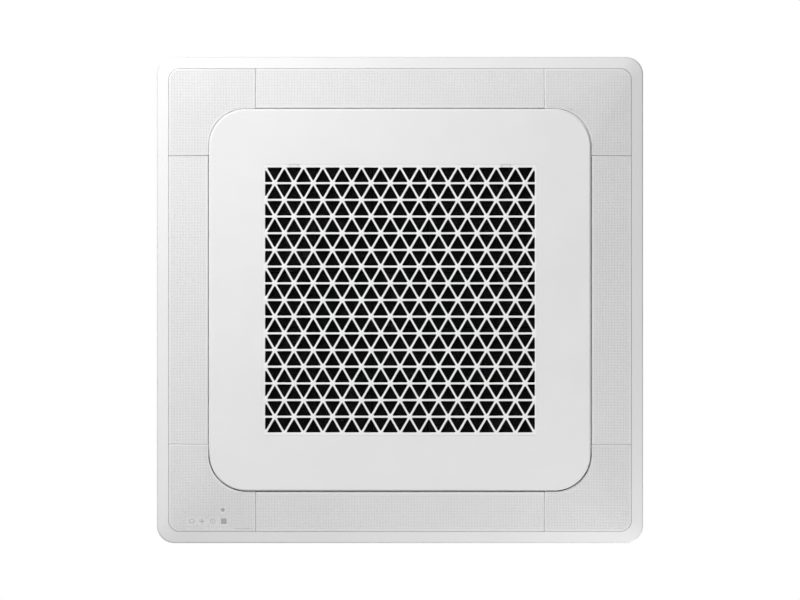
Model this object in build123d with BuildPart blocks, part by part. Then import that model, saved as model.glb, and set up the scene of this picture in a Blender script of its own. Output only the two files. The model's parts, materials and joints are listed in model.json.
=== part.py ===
from build123d import *
import os
from math import radians, sqrt, tan

# A ceiling cassette air conditioner: a steel cabinet that hangs in the ceiling void, with a fan,
# a heat exchanger and a drain inside, and a decoration panel that shows below the ceiling.
# +Z is up. z = 0 is the upper face of the hanger lugs, and x = y = 0 is the fan's axis.
# The panel's hinge side is +Y (rear), its latch side is -Y (front).

os.makedirs("parts", exist_ok=True)

# ---- Driving dimensions, in millimetres ----
# Cabinet
cabinet_size = 840.0
cabinet_height = 245.0
corner_cut = 140.0  # leg of the cut across each corner
sheet = 1.0  # side steel
top_sheet = 1.2
emboss = 2.5  # height of the stiffening beads on the top plate
bead_ring = 175.0  # round bead over the motor: outer radius
bead_width = 25.0
bead_circle = 290.0  # eight straight beads on this radius
bead_length = 170.0
bead_slot = 22.0
lug_height = 130.0  # hanger lugs above the cabinet's lower edge
cabinet_lift = 16.0  # cabinet's lower edge above the face of the ceiling
rim_width = 12.0  # inward rim along the lower edge
liner = 12.0  # foam on the sides
top_liner = 10.0
# Hanger brackets
lug_inset_x = 30.0  # slots' centres inside the cabinet's sides
lug_inset_y = 80.0
slot_length = 26.0
slot_width = 12.0
bracket_thick = 3.0
bracket_width = 57.0
bracket_reach = 38.0
bracket_drop = 60.0
# Fan
fan_radius = 238.0
fan_height = 146.0
fan_top = 62.0
fan_sheet = 3.0
fan_blades = 7
shroud_step = 33.0  # the fan's inlet ring inside its rim
throat_step = 7.0  # the mouth's throat inside the inlet ring
motor_radius = 70.0
motor_top = 96.0
motor_height = 82.0
shaft_radius = 6.0
running_gap = 0.05  # radial, between a shaft and its bore
# Heat exchanger
coil_half = 305.0  # centre of the fin pack from the fan's axis
coil_depth = 30.0
coil_corner = 95.0  # centre-line radius
coil_end = 150.0  # where the pack stops short of the open corner
coil_bottom = -106.0
coil_tubes = 8
tube_pitch = 24.0
tube_lowest = -78.0
tube_radius = 4.0
gas_radius = 7.94
liquid_radius = 4.76
# Drain
pan_bottom = -127.0
pan_top = -88.0
trough_floor = -112.0
trough_margin = 6.0
outlet_inner = 338.0  # air outlet slots, from the fan's axis
outlet_outer = 400.0
outlet_half = 268.0
mouth_half = 268.0  # opening in the pan for the bell mouth
mouth_ledge = 12.0
mouth_corner = 60.0
pump_x = 300.0
pump_y = -290.0
pump_radius = 24.0
drain_y = -250.0  # where the hose leaves the cabinet
# Decoration panel
panel_reach = 55.0  # how far the panel covers the ceiling round the cabinet
panel_corner = 34.0
border_width = 23.0
border_corner = 22.0
border_side = 9.0  # height of the border's outer edge
outer_drop = 15.0  # visible faces below the ceiling: border's inner edge,
inner_drop = 27.0  # blades' inner edge,
plate_drop = 32.0  # and centre plate
plate_size = 740.0
plate_corner = 70.0
plate_gap = 3.0  # between the plate and the blades
piece_gap = 0.5  # between the blades or covers and the border
seam = 1.3  # between a blade and a corner cover
skin = 3.0
wall = 3.0
deck_height = 13.0  # top of the panel's moulding above the ceiling's face
opening_half = 300.0  # intake opening through the panel
# Blades
blade_length = 561.6
blade_thick = 8.0
blade_axis_in = 27.0  # axis behind the blade's inner edge
blade_axis_drop = 13.0
journal_radius = 2.5
bush_radius = 4.0
louvre_motor_radius = 12.0
louvre_motor_length = 16.0
louvre_motor_rise = 8.0  # motor's centre above the blade's axis
# Intake grille
triangle_side = 37.5
lattice_margin = 107.0  # least width of the plate round its window
lattice_bar = 4.0
lattice_rim = 4.0
lattice_depth = 5.6
hinge_inset = 10.0  # hinge's axis inside the plate's edge
hinge_drop = 27.0
pin_radius = 2.0
knuckle_radius = 3.6
knuckle_width = 6.5
ear_width = 5.0
hinge_x = 206.0
latch_inset = 1.5  # latches inside the window's side, in triangles
latch_width = 16.0
latch_travel = 6.0
filter_inset_x = 92.0  # filter's frame inside the plate's edge
filter_inset_y = 96.0
filter_thick = 4.5
filter_travel = 12.0
loose = 0.4  # clearance between pieces that move past each other

# ---- Derived places ----
cabinet_bottom = -lug_height
cabinet_top = cabinet_bottom + cabinet_height
ceiling = cabinet_bottom - cabinet_lift
deck_top = ceiling + deck_height
corner_mid = (cabinet_size - corner_cut) / 2
lug_spacing_x = cabinet_size - 2 * lug_inset_x
lug_spacing_y = cabinet_size - 2 * lug_inset_y
inlet_radius = fan_radius - shroud_step
throat_radius = inlet_radius - throat_step
panel_size = cabinet_size + 2 * panel_reach
border_inner = panel_size - 2 * border_width
ring_inner = plate_size / 2 + plate_gap
ring_outer = border_inner / 2 - piece_gap
plate_face = ceiling - plate_drop
plate_back = plate_face + skin
blade_axis_r = ring_inner + blade_axis_in
end_wall = blade_length / 2 + seam  # inner face of the wall at a duct's end
blade_axis_z = ceiling - blade_axis_drop
hinge_y = plate_size / 2 - hinge_inset
hinge_z = ceiling - hinge_drop
triangle_height = triangle_side * sqrt(3) / 2
lattice_room = plate_size - 2 * lattice_margin
lattice_columns = int(lattice_room / triangle_side)
lattice_rows = 2 * int(lattice_room / triangle_height / 2)
lattice_half_x = lattice_columns * triangle_side / 2
lattice_half_y = lattice_rows * triangle_height / 2
latch_x = lattice_half_x - latch_inset * triangle_side
filter_x = plate_size / 2 - filter_inset_x
filter_y = plate_size / 2 - filter_inset_y
sides = {"front": (0, -1), "right": (1, 0), "rear": (0, 1), "left": (-1, 0)}
corners = {"front_left": (-1, -1), "front_right": (1, -1), "rear_right": (1, 1), "rear_left": (-1, 1)}


def cut_square(inset=0.0):
    """Corners of the cabinet's outline, a square with cut corners, moved inwards by inset."""
    far = cabinet_size / 2 - inset
    near = cabinet_size / 2 - corner_cut - inset * tan(radians(22.5))
    return [
        (far, -near),
        (far, near),
        (near, far),
        (-near, far),
        (-far, near),
        (-far, -near),
        (-near, -far),
        (near, -far),
    ]


def side_plane(outwards, along=0.0):
    """Upright plane across one side: x runs outwards, y upwards, moved along the side."""
    nx, ny = outwards
    return Plane(origin=(-ny * along, nx * along, 0), x_dir=(nx, ny, 0), z_dir=(ny, -nx, 0))


def corner_plane(corner, across=0.0, height=0.0, out=0.0):
    """Plane on a cut corner's face: z points out, x runs along the face, y is vertical."""
    sx, sy = corner
    x = sx * (corner_mid + (out + across) / sqrt(2))
    y = sy * (corner_mid + (out - across) / sqrt(2))
    return Plane(origin=(x, y, height), x_dir=(sx, -sy, 0), z_dir=(sx, sy, 0))


def ring_height(radius):
    """Height of the sloping visible face at this distance from the fan's axis."""
    share = (radius - ring_inner) / (border_inner / 2 - ring_inner)
    return ceiling - inner_drop + share * (inner_drop - outer_drop)


def screw(plane, head_radius, head_height, shank_radius, shank_length):
    """Pan-head screw whose head sits on the plane and whose shank goes in behind it."""
    with Locations(plane):
        Cylinder(head_radius, head_height, align=(Align.CENTER, Align.CENTER, Align.MIN))
        Cylinder(shank_radius, shank_length, align=(Align.CENTER, Align.CENTER, Align.MAX))
    with Locations(plane.offset(head_height)):
        Box(head_radius * 1.2, head_radius * 0.25, head_height * 0.5, mode=Mode.SUBTRACT)
        Box(head_radius * 0.25, head_radius * 1.2, head_height * 0.5, mode=Mode.SUBTRACT)


# ---- Places shared by several pieces ----
slot_out = (lug_spacing_x / 2 + lug_spacing_y / 2 - 2 * corner_mid) / sqrt(2)
slot_across = (lug_spacing_x - lug_spacing_y) / 2 / sqrt(2)
bracket_screw_planes = [
    corner_plane(corner, slot_across + shift, -0.7 * bracket_drop, bracket_thick)
    for corner in corners.values()
    for shift in (-0.3 * bracket_width, 0.3 * bracket_width)
]
bracket_screw_radius = 2.5
gas_z = tube_lowest + tube_pitch * (coil_tubes - 1)  # level of the highest tube
gas_y = -240.0
liquid_z = 40.0
liquid_y = -205.0
drain_z = 20.0
drain_inner = 9.0
drain_outer = 12.0
port_radius = 16.0
cable_x = 180.0
cable_z = 80.0
cable_radius = 9.0
grommet_radius = 14.0
panel_screw_at = corner_mid - 8.0
panel_screw_places = [(sx * panel_screw_at, sy * panel_screw_at) for sx, sy in corners.values()]
panel_screw_radius = 2.5
tab_thick = 3.0
tab_width = 50.0
tab_depth = 22.0
mount_bolt_circle = 88.0
mount_bolt_radius = 3.0
motor_hole = 104.0
wall_pipes = {
    "gas": (gas_y, gas_z, gas_radius + 1.0),
    "liquid": (liquid_y, liquid_z, liquid_radius + 1.0),
    "drain": (drain_y, drain_z, port_radius + 0.2),
}

# ---- Cabinet ----
with BuildPart() as cabinet_shell:
    with BuildSketch(Plane.XY.offset(cabinet_bottom)):
        Polygon(*cut_square(), align=None)
    extrude(amount=cabinet_height)
    with BuildSketch(Plane.XY.offset(cabinet_bottom + sheet)):
        Polygon(*cut_square(sheet), align=None)
    extrude(amount=cabinet_height, mode=Mode.SUBTRACT)
    with BuildSketch(Plane.XY.offset(cabinet_bottom)):
        Polygon(*cut_square(rim_width), align=None)
    extrude(amount=2 * sheet, mode=Mode.SUBTRACT)
    # Nut plates for the panel's screws, one in each corner
    for corner in corners.values():
        with BuildSketch(corner_plane(corner, 0, cabinet_bottom, -tab_depth - sheet)):
            with Locations((0, -corner[0] * corner[1] * tab_thick / 2)):
                Rectangle(tab_width, tab_thick)
        extrude(amount=tab_depth + sheet / 2)
    with Locations([(x, y, cabinet_bottom) for x, y in panel_screw_places]):
        Cylinder(panel_screw_radius + 0.1, 4 * tab_thick, mode=Mode.SUBTRACT)
    with Locations(*bracket_screw_planes):
        Cylinder(bracket_screw_radius + 0.1, 4 * bracket_thick, mode=Mode.SUBTRACT)
    for y, z, radius in wall_pipes.values():
        with Locations(Plane(origin=(cabinet_size / 2, y, z), z_dir=(1, 0, 0))):
            Cylinder(radius, 6 * sheet, mode=Mode.SUBTRACT)
    with Locations(Plane(origin=(cable_x, cabinet_size / 2, cable_z), z_dir=(0, 1, 0))):
        Cylinder(grommet_radius - 3, 6 * sheet, mode=Mode.SUBTRACT)
cabinet_shell.part.label = "cabinet_shell"
export_step(cabinet_shell.part, "parts/cabinet_shell.step")

with BuildPart() as top_plate:
    with BuildSketch(Plane.XY.offset(cabinet_top)):
        Polygon(*cut_square(), align=None)
    extrude(amount=top_sheet)
    with BuildSketch(Plane.XY.offset(cabinet_top + top_sheet)):
        Circle(bead_ring)
        Circle(bead_ring - bead_width, mode=Mode.SUBTRACT)
        with PolarLocations(bead_circle, 8, start_angle=22.5):
            SlotOverall(bead_length, bead_slot)
    extrude(amount=emboss)
    fillet(top_plate.faces().sort_by(Axis.Z)[-1].edges(), 1.0)
top_plate.part.label = "top_plate"
export_step(top_plate.part, "parts/top_plate.step")

with BuildPart() as insulation_liner:
    with BuildSketch(Plane.XY.offset(pan_bottom)):
        Polygon(*cut_square(sheet), align=None)
    extrude(amount=cabinet_top - pan_bottom)
    with BuildSketch(Plane.XY.offset(pan_bottom)):
        Polygon(*cut_square(sheet + liner), align=None)
    extrude(amount=cabinet_top - top_liner - pan_bottom, mode=Mode.SUBTRACT)
    with Locations((0, 0, cabinet_top)):
        Cylinder(motor_hole, 4 * top_liner, mode=Mode.SUBTRACT)
    for y, z, radius in wall_pipes.values():
        with Locations(Plane(origin=(cabinet_size / 2, y, z), z_dir=(1, 0, 0))):
            Cylinder(radius, 4 * liner, mode=Mode.SUBTRACT)
    with Locations(Plane(origin=(cable_x, cabinet_size / 2, cable_z), z_dir=(0, 1, 0))):
        Cylinder(grommet_radius + 1, 4 * liner, mode=Mode.SUBTRACT)
    with Locations(*bracket_screw_planes):
        Cylinder(bracket_screw_radius + 1, 5 * bracket_thick, mode=Mode.SUBTRACT)
insulation_liner.part.label = "insulation_liner"
export_step(insulation_liner.part, "parts/insulation_liner.step")

# ---- Hanger brackets: a leaf on the cut corner, a slotted lug and two gussets ----
for number, corner in enumerate(corners.values(), 1):
    sx, sy = corner
    with BuildPart() as bracket:
        with BuildSketch(corner_plane(corner, slot_across, -bracket_drop / 2)):
            Rectangle(bracket_width, bracket_drop)
        extrude(amount=bracket_thick)
        with BuildSketch(corner_plane(corner, slot_across, -bracket_thick / 2)):
            Rectangle(bracket_width, bracket_thick)
        extrude(amount=bracket_reach)
        for edge in (-1, 1):
            across = slot_across + edge * (bracket_width - bracket_thick) / 2
            foot = corner_plane(corner, across)
            gusset = Plane(origin=foot.origin, x_dir=(sx, sy, 0), z_dir=(sy, -sx, 0))
            with BuildSketch(gusset):
                Polygon((0, 0), (0.8 * bracket_reach, 0), (0, -0.8 * bracket_drop), align=None)
            extrude(amount=bracket_thick / 2, both=True)
        with BuildSketch(Plane.XY):
            with Locations((sx * lug_spacing_x / 2, sy * lug_spacing_y / 2)):
                SlotOverall(slot_length, slot_width)
        extrude(amount=-2 * bracket_thick, mode=Mode.SUBTRACT)
        with Locations(*[p for p in bracket_screw_planes if p.origin.X * sx > 0 and p.origin.Y * sy > 0]):
            Cylinder(bracket_screw_radius + 0.1, 4 * bracket_thick, mode=Mode.SUBTRACT)
        upright = bracket.edges().filter_by(Axis.Z)
        fillet(upright.sort_by(lambda e: sx * e.center().X + sy * e.center().Y)[-2:], 5)
    bracket.part.label = f"hanger_bracket_{number}"
    export_step(bracket.part, f"parts/hanger_bracket_{number}.step")

with BuildPart() as bracket_screws:
    for plane in bracket_screw_planes:
        screw(plane, 4.5, 3.0, bracket_screw_radius, bracket_thick + sheet)
bracket_screws.part.label = "bracket_screws"
export_step(bracket_screws.part, "parts/bracket_screws.step")

# ---- Fan motor and wheel ----
motor_bottom = motor_top - motor_height
ear_bottom = motor_top - 4
with BuildPart() as fan_motor:
    with BuildSketch(Plane.XY.offset(motor_bottom)):
        Circle(motor_radius)
    extrude(amount=motor_height)
    fillet(fan_motor.edges().filter_by(GeomType.CIRCLE), 8)
    # Cooling grooves round the shell
    with BuildSketch(Plane.XZ):
        for step in range(4):
            with Locations((motor_radius, motor_bottom + 20 + 12 * step)):
                Rectangle(6, 5)
    revolve(axis=Axis.Z, mode=Mode.SUBTRACT)
    with BuildSketch(Plane.XY.offset(ear_bottom)):
        Circle(motor_radius - 1)
        with PolarLocations(mount_bolt_circle / 2, 3):
            SlotCenterToCenter(mount_bolt_circle, 30)
    extrude(amount=4)
    with BuildSketch(Plane.XY.offset(ear_bottom)):
        with PolarLocations(mount_bolt_circle, 3):
            Circle(mount_bolt_radius + 0.2)
    extrude(amount=4, mode=Mode.SUBTRACT)
    with BuildSketch(Plane.XY.offset(motor_bottom)):
        Circle(shaft_radius + running_gap)
    extrude(amount=motor_height - 12, mode=Mode.SUBTRACT)
fan_motor.part.label = "fan_motor"
export_step(fan_motor.part, "parts/fan_motor.step")

with BuildPart() as motor_mounts:
    with BuildSketch(Plane.XY.offset(motor_top)):
        with PolarLocations(mount_bolt_circle, 3):
            Circle(11)
            Circle(mount_bolt_radius, mode=Mode.SUBTRACT)
    extrude(amount=cabinet_top - motor_top)
motor_mounts.part.label = "motor_mounts"
export_step(motor_mounts.part, "parts/motor_mounts.step")

with BuildPart() as motor_bolts:
    with BuildSketch(Plane.XY.offset(ear_bottom - 5)):
        with PolarLocations(mount_bolt_circle, 3):
            RegularPolygon(6, 6)
    extrude(amount=5)
    with BuildSketch(Plane.XY.offset(ear_bottom)):
        with PolarLocations(mount_bolt_circle, 3):
            Circle(mount_bolt_radius)
    extrude(amount=cabinet_top - ear_bottom)
motor_bolts.part.label = "motor_bolts"
export_step(motor_bolts.part, "parts/motor_bolts.step")

hub_low = 2.0  # underside of the hub's hollow that the motor sits in
shaft_low = -26.0
with BuildPart() as motor_shaft:
    with BuildSketch(Plane.XY.offset(shaft_low)):
        Circle(shaft_radius)
    extrude(amount=motor_top - 20 - shaft_low)
    chamfer(motor_shaft.edges().filter_by(GeomType.CIRCLE), 1)
motor_shaft.part.label = "motor_shaft"
export_step(motor_shaft.part, "parts/motor_shaft.step")

fan_bottom = fan_top - fan_height
shroud_top = fan_top - 0.78 * fan_height
with BuildSketch() as fan_blade:
    with BuildLine():
        ThreePointArc((152, -28), (196, -8), (234, 34))
        Line((234, 34), (232, 37))
        ThreePointArc((232, 37), (194.5, -5), (152, -25))
        Line((152, -25), (152, -28))
    make_face()

with BuildPart() as turbo_fan:
    # Hub: an outer ring, a cone down round the motor, and a boss on the shaft
    with BuildSketch(Plane.XZ):
        with BuildLine():
            Polyline(
                (fan_radius, fan_top),
                (fan_radius, fan_top - fan_sheet),
                (motor_radius + 56, fan_top - fan_sheet - 3),
                (motor_radius + 14, hub_low - 4),
                (28, hub_low - 4),
                (18, hub_low - 16),
                (shaft_radius, hub_low - 16),
                (shaft_radius, hub_low),
                (motor_radius + 11, hub_low),
                (motor_radius + 53, fan_top - 3),
                (fan_radius, fan_top),
            )
        make_face()
    revolve(axis=Axis.Z)
    # Blades leaning back from the direction of turning
    with BuildSketch(Plane.XY.offset(fan_bottom + 6)):
        with PolarLocations(0, fan_blades):
            add(fan_blade.sketch)
    extrude(amount=fan_top - fan_sheet / 2 - fan_bottom - 6)
    with BuildSketch(Plane.XZ):
        Polygon(
            (inlet_radius + 1, fan_bottom + 16),
            (fan_radius + 1, shroud_top + 1),
            (fan_radius + 40, shroud_top + 1),
            (fan_radius + 40, fan_bottom - 20),
            (inlet_radius + 1, fan_bottom - 20),
            align=None,
        )
    revolve(axis=Axis.Z, mode=Mode.SUBTRACT)
    with BuildSketch(Plane.XZ):
        Rectangle(fan_radius, 3 * fan_height, align=(Align.MIN, Align.CENTER))
    revolve(axis=Axis.Z, mode=Mode.INTERSECT)
    # Shroud with its inlet ring
    with BuildSketch(Plane.XZ):
        Polygon(
            (inlet_radius, fan_bottom),
            (inlet_radius + fan_sheet, fan_bottom),
            (inlet_radius + fan_sheet, fan_bottom + 14),
            (fan_radius, shroud_top - fan_sheet / 2),
            (fan_radius, shroud_top + fan_sheet),
            (inlet_radius, fan_bottom + 18),
            align=None,
        )
    revolve(axis=Axis.Z)
turbo_fan.part.label = "turbo_fan"
export_step(turbo_fan.part, "parts/turbo_fan.step")

with BuildPart() as fan_nut:
    with BuildSketch(Plane.XY.offset(hub_low - 16)):
        RegularPolygon(11, 6)
        Circle(shaft_radius, mode=Mode.SUBTRACT)
    extrude(amount=-8)
fan_nut.part.label = "fan_nut"
export_step(fan_nut.part, "parts/fan_nut.step")

mouth_plate_top = trough_floor + 12
flare_radius = 232.0
flare_low = mouth_plate_top - wall
throat_low = flare_low + 18
lip_top = mouth_plate_top + 20
lip_radius = throat_radius + 2.5
with BuildPart() as bell_mouth:
    with BuildSketch(Plane.XY.offset(mouth_plate_top)):
        RectangleRounded(2 * mouth_half - 2, 2 * mouth_half - 2, mouth_corner - 1)
    extrude(amount=-wall)
    with BuildSketch(Plane.XY.offset(mouth_plate_top)):
        Circle(flare_radius)
    extrude(amount=-wall, mode=Mode.SUBTRACT)
    # Rounded flare up to the lip inside the wheel's inlet ring
    with BuildSketch(Plane.XZ):
        with BuildLine():
            TangentArc((flare_radius, flare_low), (throat_radius, throat_low), tangent=(-1, 0))
            Polyline(
                (throat_radius, throat_low),
                (throat_radius, lip_top),
                (lip_radius, lip_top),
                (lip_radius, throat_low),
            )
            TangentArc((flare_radius, mouth_plate_top), (lip_radius, throat_low), tangent=(-1, 0))
            Line((flare_radius, mouth_plate_top), (flare_radius, flare_low))
        make_face()
    revolve(axis=Axis.Z)
bell_mouth.part.label = "bell_mouth"
export_step(bell_mouth.part, "parts/bell_mouth.step")

# ---- Heat exchanger ----
fin_top = cabinet_top - top_liner


def coil_path(height):
    """Centre-line of the fin pack, open at the front right corner."""
    h = coil_half
    return FilletPolyline(
        (h, -coil_end, height),
        (h, h, height),
        (-h, h, height),
        (-h, -h, height),
        (coil_end, -h, height),
        radius=coil_corner,
    )


def coil_outline(spread):
    """Closed outline at this distance each side of the fin pack's centre-line."""
    RectangleRounded(2 * (coil_half + spread), 2 * (coil_half + spread), coil_corner + spread)
    RectangleRounded(
        2 * (coil_half - spread), 2 * (coil_half - spread), coil_corner - spread, mode=Mode.SUBTRACT
    )


tube_levels = [tube_lowest + tube_pitch * level for level in range(coil_tubes)]
with BuildPart() as evaporator_tubes:
    for height in tube_levels:
        with BuildLine():
            coil_path(height)
        with BuildSketch(Plane(origin=(coil_half, -coil_end, height), z_dir=(0, 1, 0))):
            Circle(tube_radius)
        sweep()
    # Straight ends and return bends outside the tube sheets
    stub = 9.0
    ends = [
        Plane(origin=(coil_half, -coil_end, 0), x_dir=(1, 0, 0), z_dir=(0, -1, 0)),
        Plane(origin=(coil_end, -coil_half, 0), x_dir=(0, 1, 0), z_dir=(1, 0, 0)),
    ]
    for end, first in zip(ends, (1, 0)):
        with BuildSketch(end):
            with Locations([(0, height) for height in tube_levels]):
                Circle(tube_radius)
        extrude(amount=stub)
        bend_start = end.offset(stub)
        for lower in tube_levels[first:-1:2]:
            with BuildSketch(bend_start):
                with Locations((0, lower + tube_pitch)):
                    Circle(tube_radius)
            middle = bend_start.origin + Vector(0, 0, lower + tube_pitch / 2)
            revolve(axis=Axis(middle, end.x_dir), revolution_arc=180)
evaporator_tubes.part.label = "evaporator_tubes"
export_step(evaporator_tubes.part, "parts/evaporator_tubes.step")

with BuildPart() as evaporator_fins:
    with BuildSketch(Plane.XY.offset(coil_bottom)):
        coil_outline(coil_depth / 2)
        with Locations((coil_half, -coil_half)):
            Rectangle(2 * (coil_half - coil_end), 2 * (coil_half - coil_end), mode=Mode.SUBTRACT)
    extrude(amount=fin_top - coil_bottom)
    add(evaporator_tubes.part, mode=Mode.SUBTRACT)
evaporator_fins.part.label = "evaporator_fins"
export_step(evaporator_fins.part, "parts/evaporator_fins.step")

sheet_width = coil_depth + 6
with BuildPart() as tube_sheets:
    for end in ends:
        with BuildSketch(end):
            with Locations((0, (coil_bottom + fin_top) / 2)):
                Rectangle(sheet_width, fin_top - coil_bottom)
        extrude(amount=1.5)
    add(evaporator_tubes.part, mode=Mode.SUBTRACT)
tube_sheets.part.label = "tube_sheets"
export_step(tube_sheets.part, "parts/tube_sheets.step")

pipe_reach = cabinet_size / 2 + 38
pipe_start = -coil_end - stub
gas_flare_radius = 11.0
liquid_flare_radius = 7.5
flare_length = 10.0
nut_bore_length = 14.0
with BuildPart() as gas_pipe:
    with BuildLine():
        FilletPolyline(
            (coil_half, pipe_start, gas_z), (coil_half, gas_y, gas_z), (pipe_reach, gas_y, gas_z), radius=30
        )
    with BuildSketch(Plane(origin=(coil_half, pipe_start, gas_z), z_dir=(0, -1, 0))):
        Circle(gas_radius)
    sweep()
    with Locations(Plane(origin=(pipe_reach, gas_y, gas_z), z_dir=(1, 0, 0))):
        Cylinder(gas_flare_radius, flare_length, align=(Align.CENTER, Align.CENTER, Align.MAX))
gas_pipe.part.label = "gas_pipe"
export_step(gas_pipe.part, "parts/gas_pipe.step")

with BuildPart() as liquid_pipe:
    with BuildLine():
        FilletPolyline(
            (coil_half, pipe_start, tube_lowest),
            (coil_half, liquid_y, tube_lowest),
            (coil_half, liquid_y, liquid_z),
            (pipe_reach, liquid_y, liquid_z),
            radius=18,
        )
    with BuildSketch(Plane(origin=(coil_half, pipe_start, tube_lowest), z_dir=(0, -1, 0))):
        Circle(liquid_radius)
    sweep()
    with Locations(Plane(origin=(pipe_reach, liquid_y, liquid_z), z_dir=(1, 0, 0))):
        Cylinder(liquid_flare_radius, flare_length, align=(Align.CENTER, Align.CENTER, Align.MAX))
liquid_pipe.part.label = "liquid_pipe"
export_step(liquid_pipe.part, "parts/liquid_pipe.step")


def flare_nut(end_radius, bore_radius, across, y, z):
    """Hexagon nut over a pipe's flared end, with a bore behind for the pipe that joins it."""
    with BuildPart() as nut:
        with BuildSketch(Plane(origin=(pipe_reach - flare_length, y, z), z_dir=(1, 0, 0))):
            RegularPolygon(across / 2, 6, major_radius=False)
        extrude(amount=flare_length + nut_bore_length)
        with BuildSketch(Plane(origin=(pipe_reach - flare_length, y, z), z_dir=(1, 0, 0))):
            Circle(end_radius)
        extrude(amount=flare_length, mode=Mode.SUBTRACT)
        with BuildSketch(Plane(origin=(pipe_reach, y, z), z_dir=(1, 0, 0))):
            Circle(bore_radius)
        extrude(amount=nut_bore_length, mode=Mode.SUBTRACT)
    return nut.part


gas_flare_nut = flare_nut(gas_flare_radius, gas_radius + 0.16, 29, gas_y, gas_z)
gas_flare_nut.label = "gas_flare_nut"
export_step(gas_flare_nut, "parts/gas_flare_nut.step")
liquid_flare_nut = flare_nut(liquid_flare_radius, liquid_radius + 0.14, 22, liquid_y, liquid_z)
liquid_flare_nut.label = "liquid_flare_nut"
export_step(liquid_flare_nut, "parts/liquid_flare_nut.step")

# ---- Drain ----
sump_depth = 8.0
mouth_clear = mouth_half - mouth_ledge
with BuildPart() as drain_pan:
    with BuildSketch(Plane.XY.offset(pan_bottom)):
        Polygon(*cut_square(sheet + liner), align=None)
        for outwards in sides.values():
            nx, ny = outwards
            middle = (outlet_inner + outlet_outer) / 2
            width = outlet_outer - outlet_inner
            with Locations((nx * middle, ny * middle)):
                Rectangle(
                    width if nx else 2 * outlet_half, width if ny else 2 * outlet_half, mode=Mode.SUBTRACT
                )
    extrude(amount=pan_top - pan_bottom)
    with BuildSketch(Plane.XY.offset(pan_bottom)):
        RectangleRounded(2 * mouth_half, 2 * mouth_half, mouth_corner)
    extrude(amount=mouth_plate_top - pan_bottom, mode=Mode.SUBTRACT)
    with BuildSketch(Plane.XY.offset(pan_bottom)):
        RectangleRounded(2 * mouth_clear, 2 * mouth_clear, mouth_corner - mouth_ledge)
    extrude(amount=pan_top - pan_bottom, mode=Mode.SUBTRACT)
    with BuildSketch(Plane.XY.offset(trough_floor)):
        coil_outline(coil_depth / 2 + trough_margin)
    extrude(amount=pan_top - trough_floor, mode=Mode.SUBTRACT)
    with BuildSketch(Plane.XY.offset(trough_floor - sump_depth)):
        with Locations((pump_x, pump_y)):
            Circle(pump_radius + 12)
    extrude(amount=pan_top - trough_floor + sump_depth, mode=Mode.SUBTRACT)
drain_pan.part.label = "drain_pan"
export_step(drain_pan.part, "parts/drain_pan.step")

sump_floor = trough_floor - sump_depth
pump_foot = sump_floor + 26
with BuildPart() as drain_pump:
    # Strainer skirt on three feet, motor can above it, and the outlet
    with BuildSketch(Plane.XY.offset(sump_floor)):
        with Locations((pump_x, pump_y)):
            Circle(pump_radius)
            Circle(pump_radius - 2.5, mode=Mode.SUBTRACT)
    extrude(amount=pump_foot - sump_floor)
    with BuildSketch(Plane.XY.offset(sump_floor)):
        with Locations((pump_x, pump_y)):
            for turn in (20, 80, 140):
                Rectangle(3 * pump_radius, 10, rotation=turn)
    extrude(amount=12, mode=Mode.SUBTRACT)
    with BuildSketch(Plane.XY.offset(pump_foot)):
        with Locations((pump_x, pump_y)):
            Circle(pump_radius)
    extrude(amount=drain_z + 16 - pump_foot)
    with Locations((pump_x, pump_y, pump_foot)):
        Cylinder(2.05, 2 * 9, mode=Mode.SUBTRACT)
    with Locations(Plane(origin=(pump_x, pump_y, drain_z), z_dir=(1, 0, 0))):
        Cylinder(drain_inner, pump_radius + 9, align=(Align.CENTER, Align.CENTER, Align.MIN))
    with Locations((pump_x, pump_y - 8, drain_z + 16)):
        Cylinder(12, 22, align=(Align.CENTER, Align.CENTER, Align.MIN))
drain_pump.part.label = "drain_pump"
export_step(drain_pump.part, "parts/drain_pump.step")

with BuildPart() as pump_impeller:
    with BuildSketch(Plane.XY.offset(sump_floor + 6)):
        with Locations((pump_x, pump_y)):
            Circle(4)
            Rectangle(34, 2)
            Rectangle(2, 34)
    extrude(amount=12)
    with BuildSketch(Plane.XY.offset(sump_floor + 18)):
        with Locations((pump_x, pump_y)):
            Circle(17)
    extrude(amount=2)
    with BuildSketch(Plane.XY.offset(sump_floor + 20)):
        with Locations((pump_x, pump_y)):
            Circle(2)
    extrude(amount=pump_foot + 8 - sump_floor - 20)
pump_impeller.part.label = "pump_impeller"
export_step(pump_impeller.part, "parts/pump_impeller.step")

float_x = pump_x - 60.0
float_y = pump_y - 13.0
float_travel = 12.0
float_radius = 12.0
float_height = 18.0
stem_radius = 4.0
stem_foot = 2.0
float_low = trough_floor + stem_foot + 0.3
float_stop = float_low + float_height + float_travel + 1.7
stem_top = float_stop + 14.0
with BuildPart() as float_stem:
    with BuildSketch(Plane.XY.offset(trough_floor)):
        with Locations((float_x, float_y)):
            Circle(2 * stem_radius)
    extrude(amount=stem_foot)
    with BuildSketch(Plane.XY.offset(trough_floor)):
        with Locations((float_x, float_y)):
            Circle(stem_radius)
    extrude(amount=stem_top - trough_floor)
    with BuildSketch(Plane.XY.offset(float_stop)):
        with Locations((float_x, float_y)):
            Circle(stem_radius + 5)
    extrude(amount=4)
float_stem.part.label = "float_stem"
export_step(float_stem.part, "parts/float_stem.step")

with BuildPart() as float_ring:
    with BuildSketch(Plane.XY.offset(float_low)):
        with Locations((float_x, float_y)):
            Circle(float_radius)
            Circle(stem_radius + loose, mode=Mode.SUBTRACT)
    extrude(amount=float_height)
    fillet(float_ring.edges().filter_by(GeomType.CIRCLE).sort_by(SortBy.RADIUS)[-2:], 2.5)
float_ring.part.label = "float_ring"
export_step(float_ring.part, "parts/float_ring.step")

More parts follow.
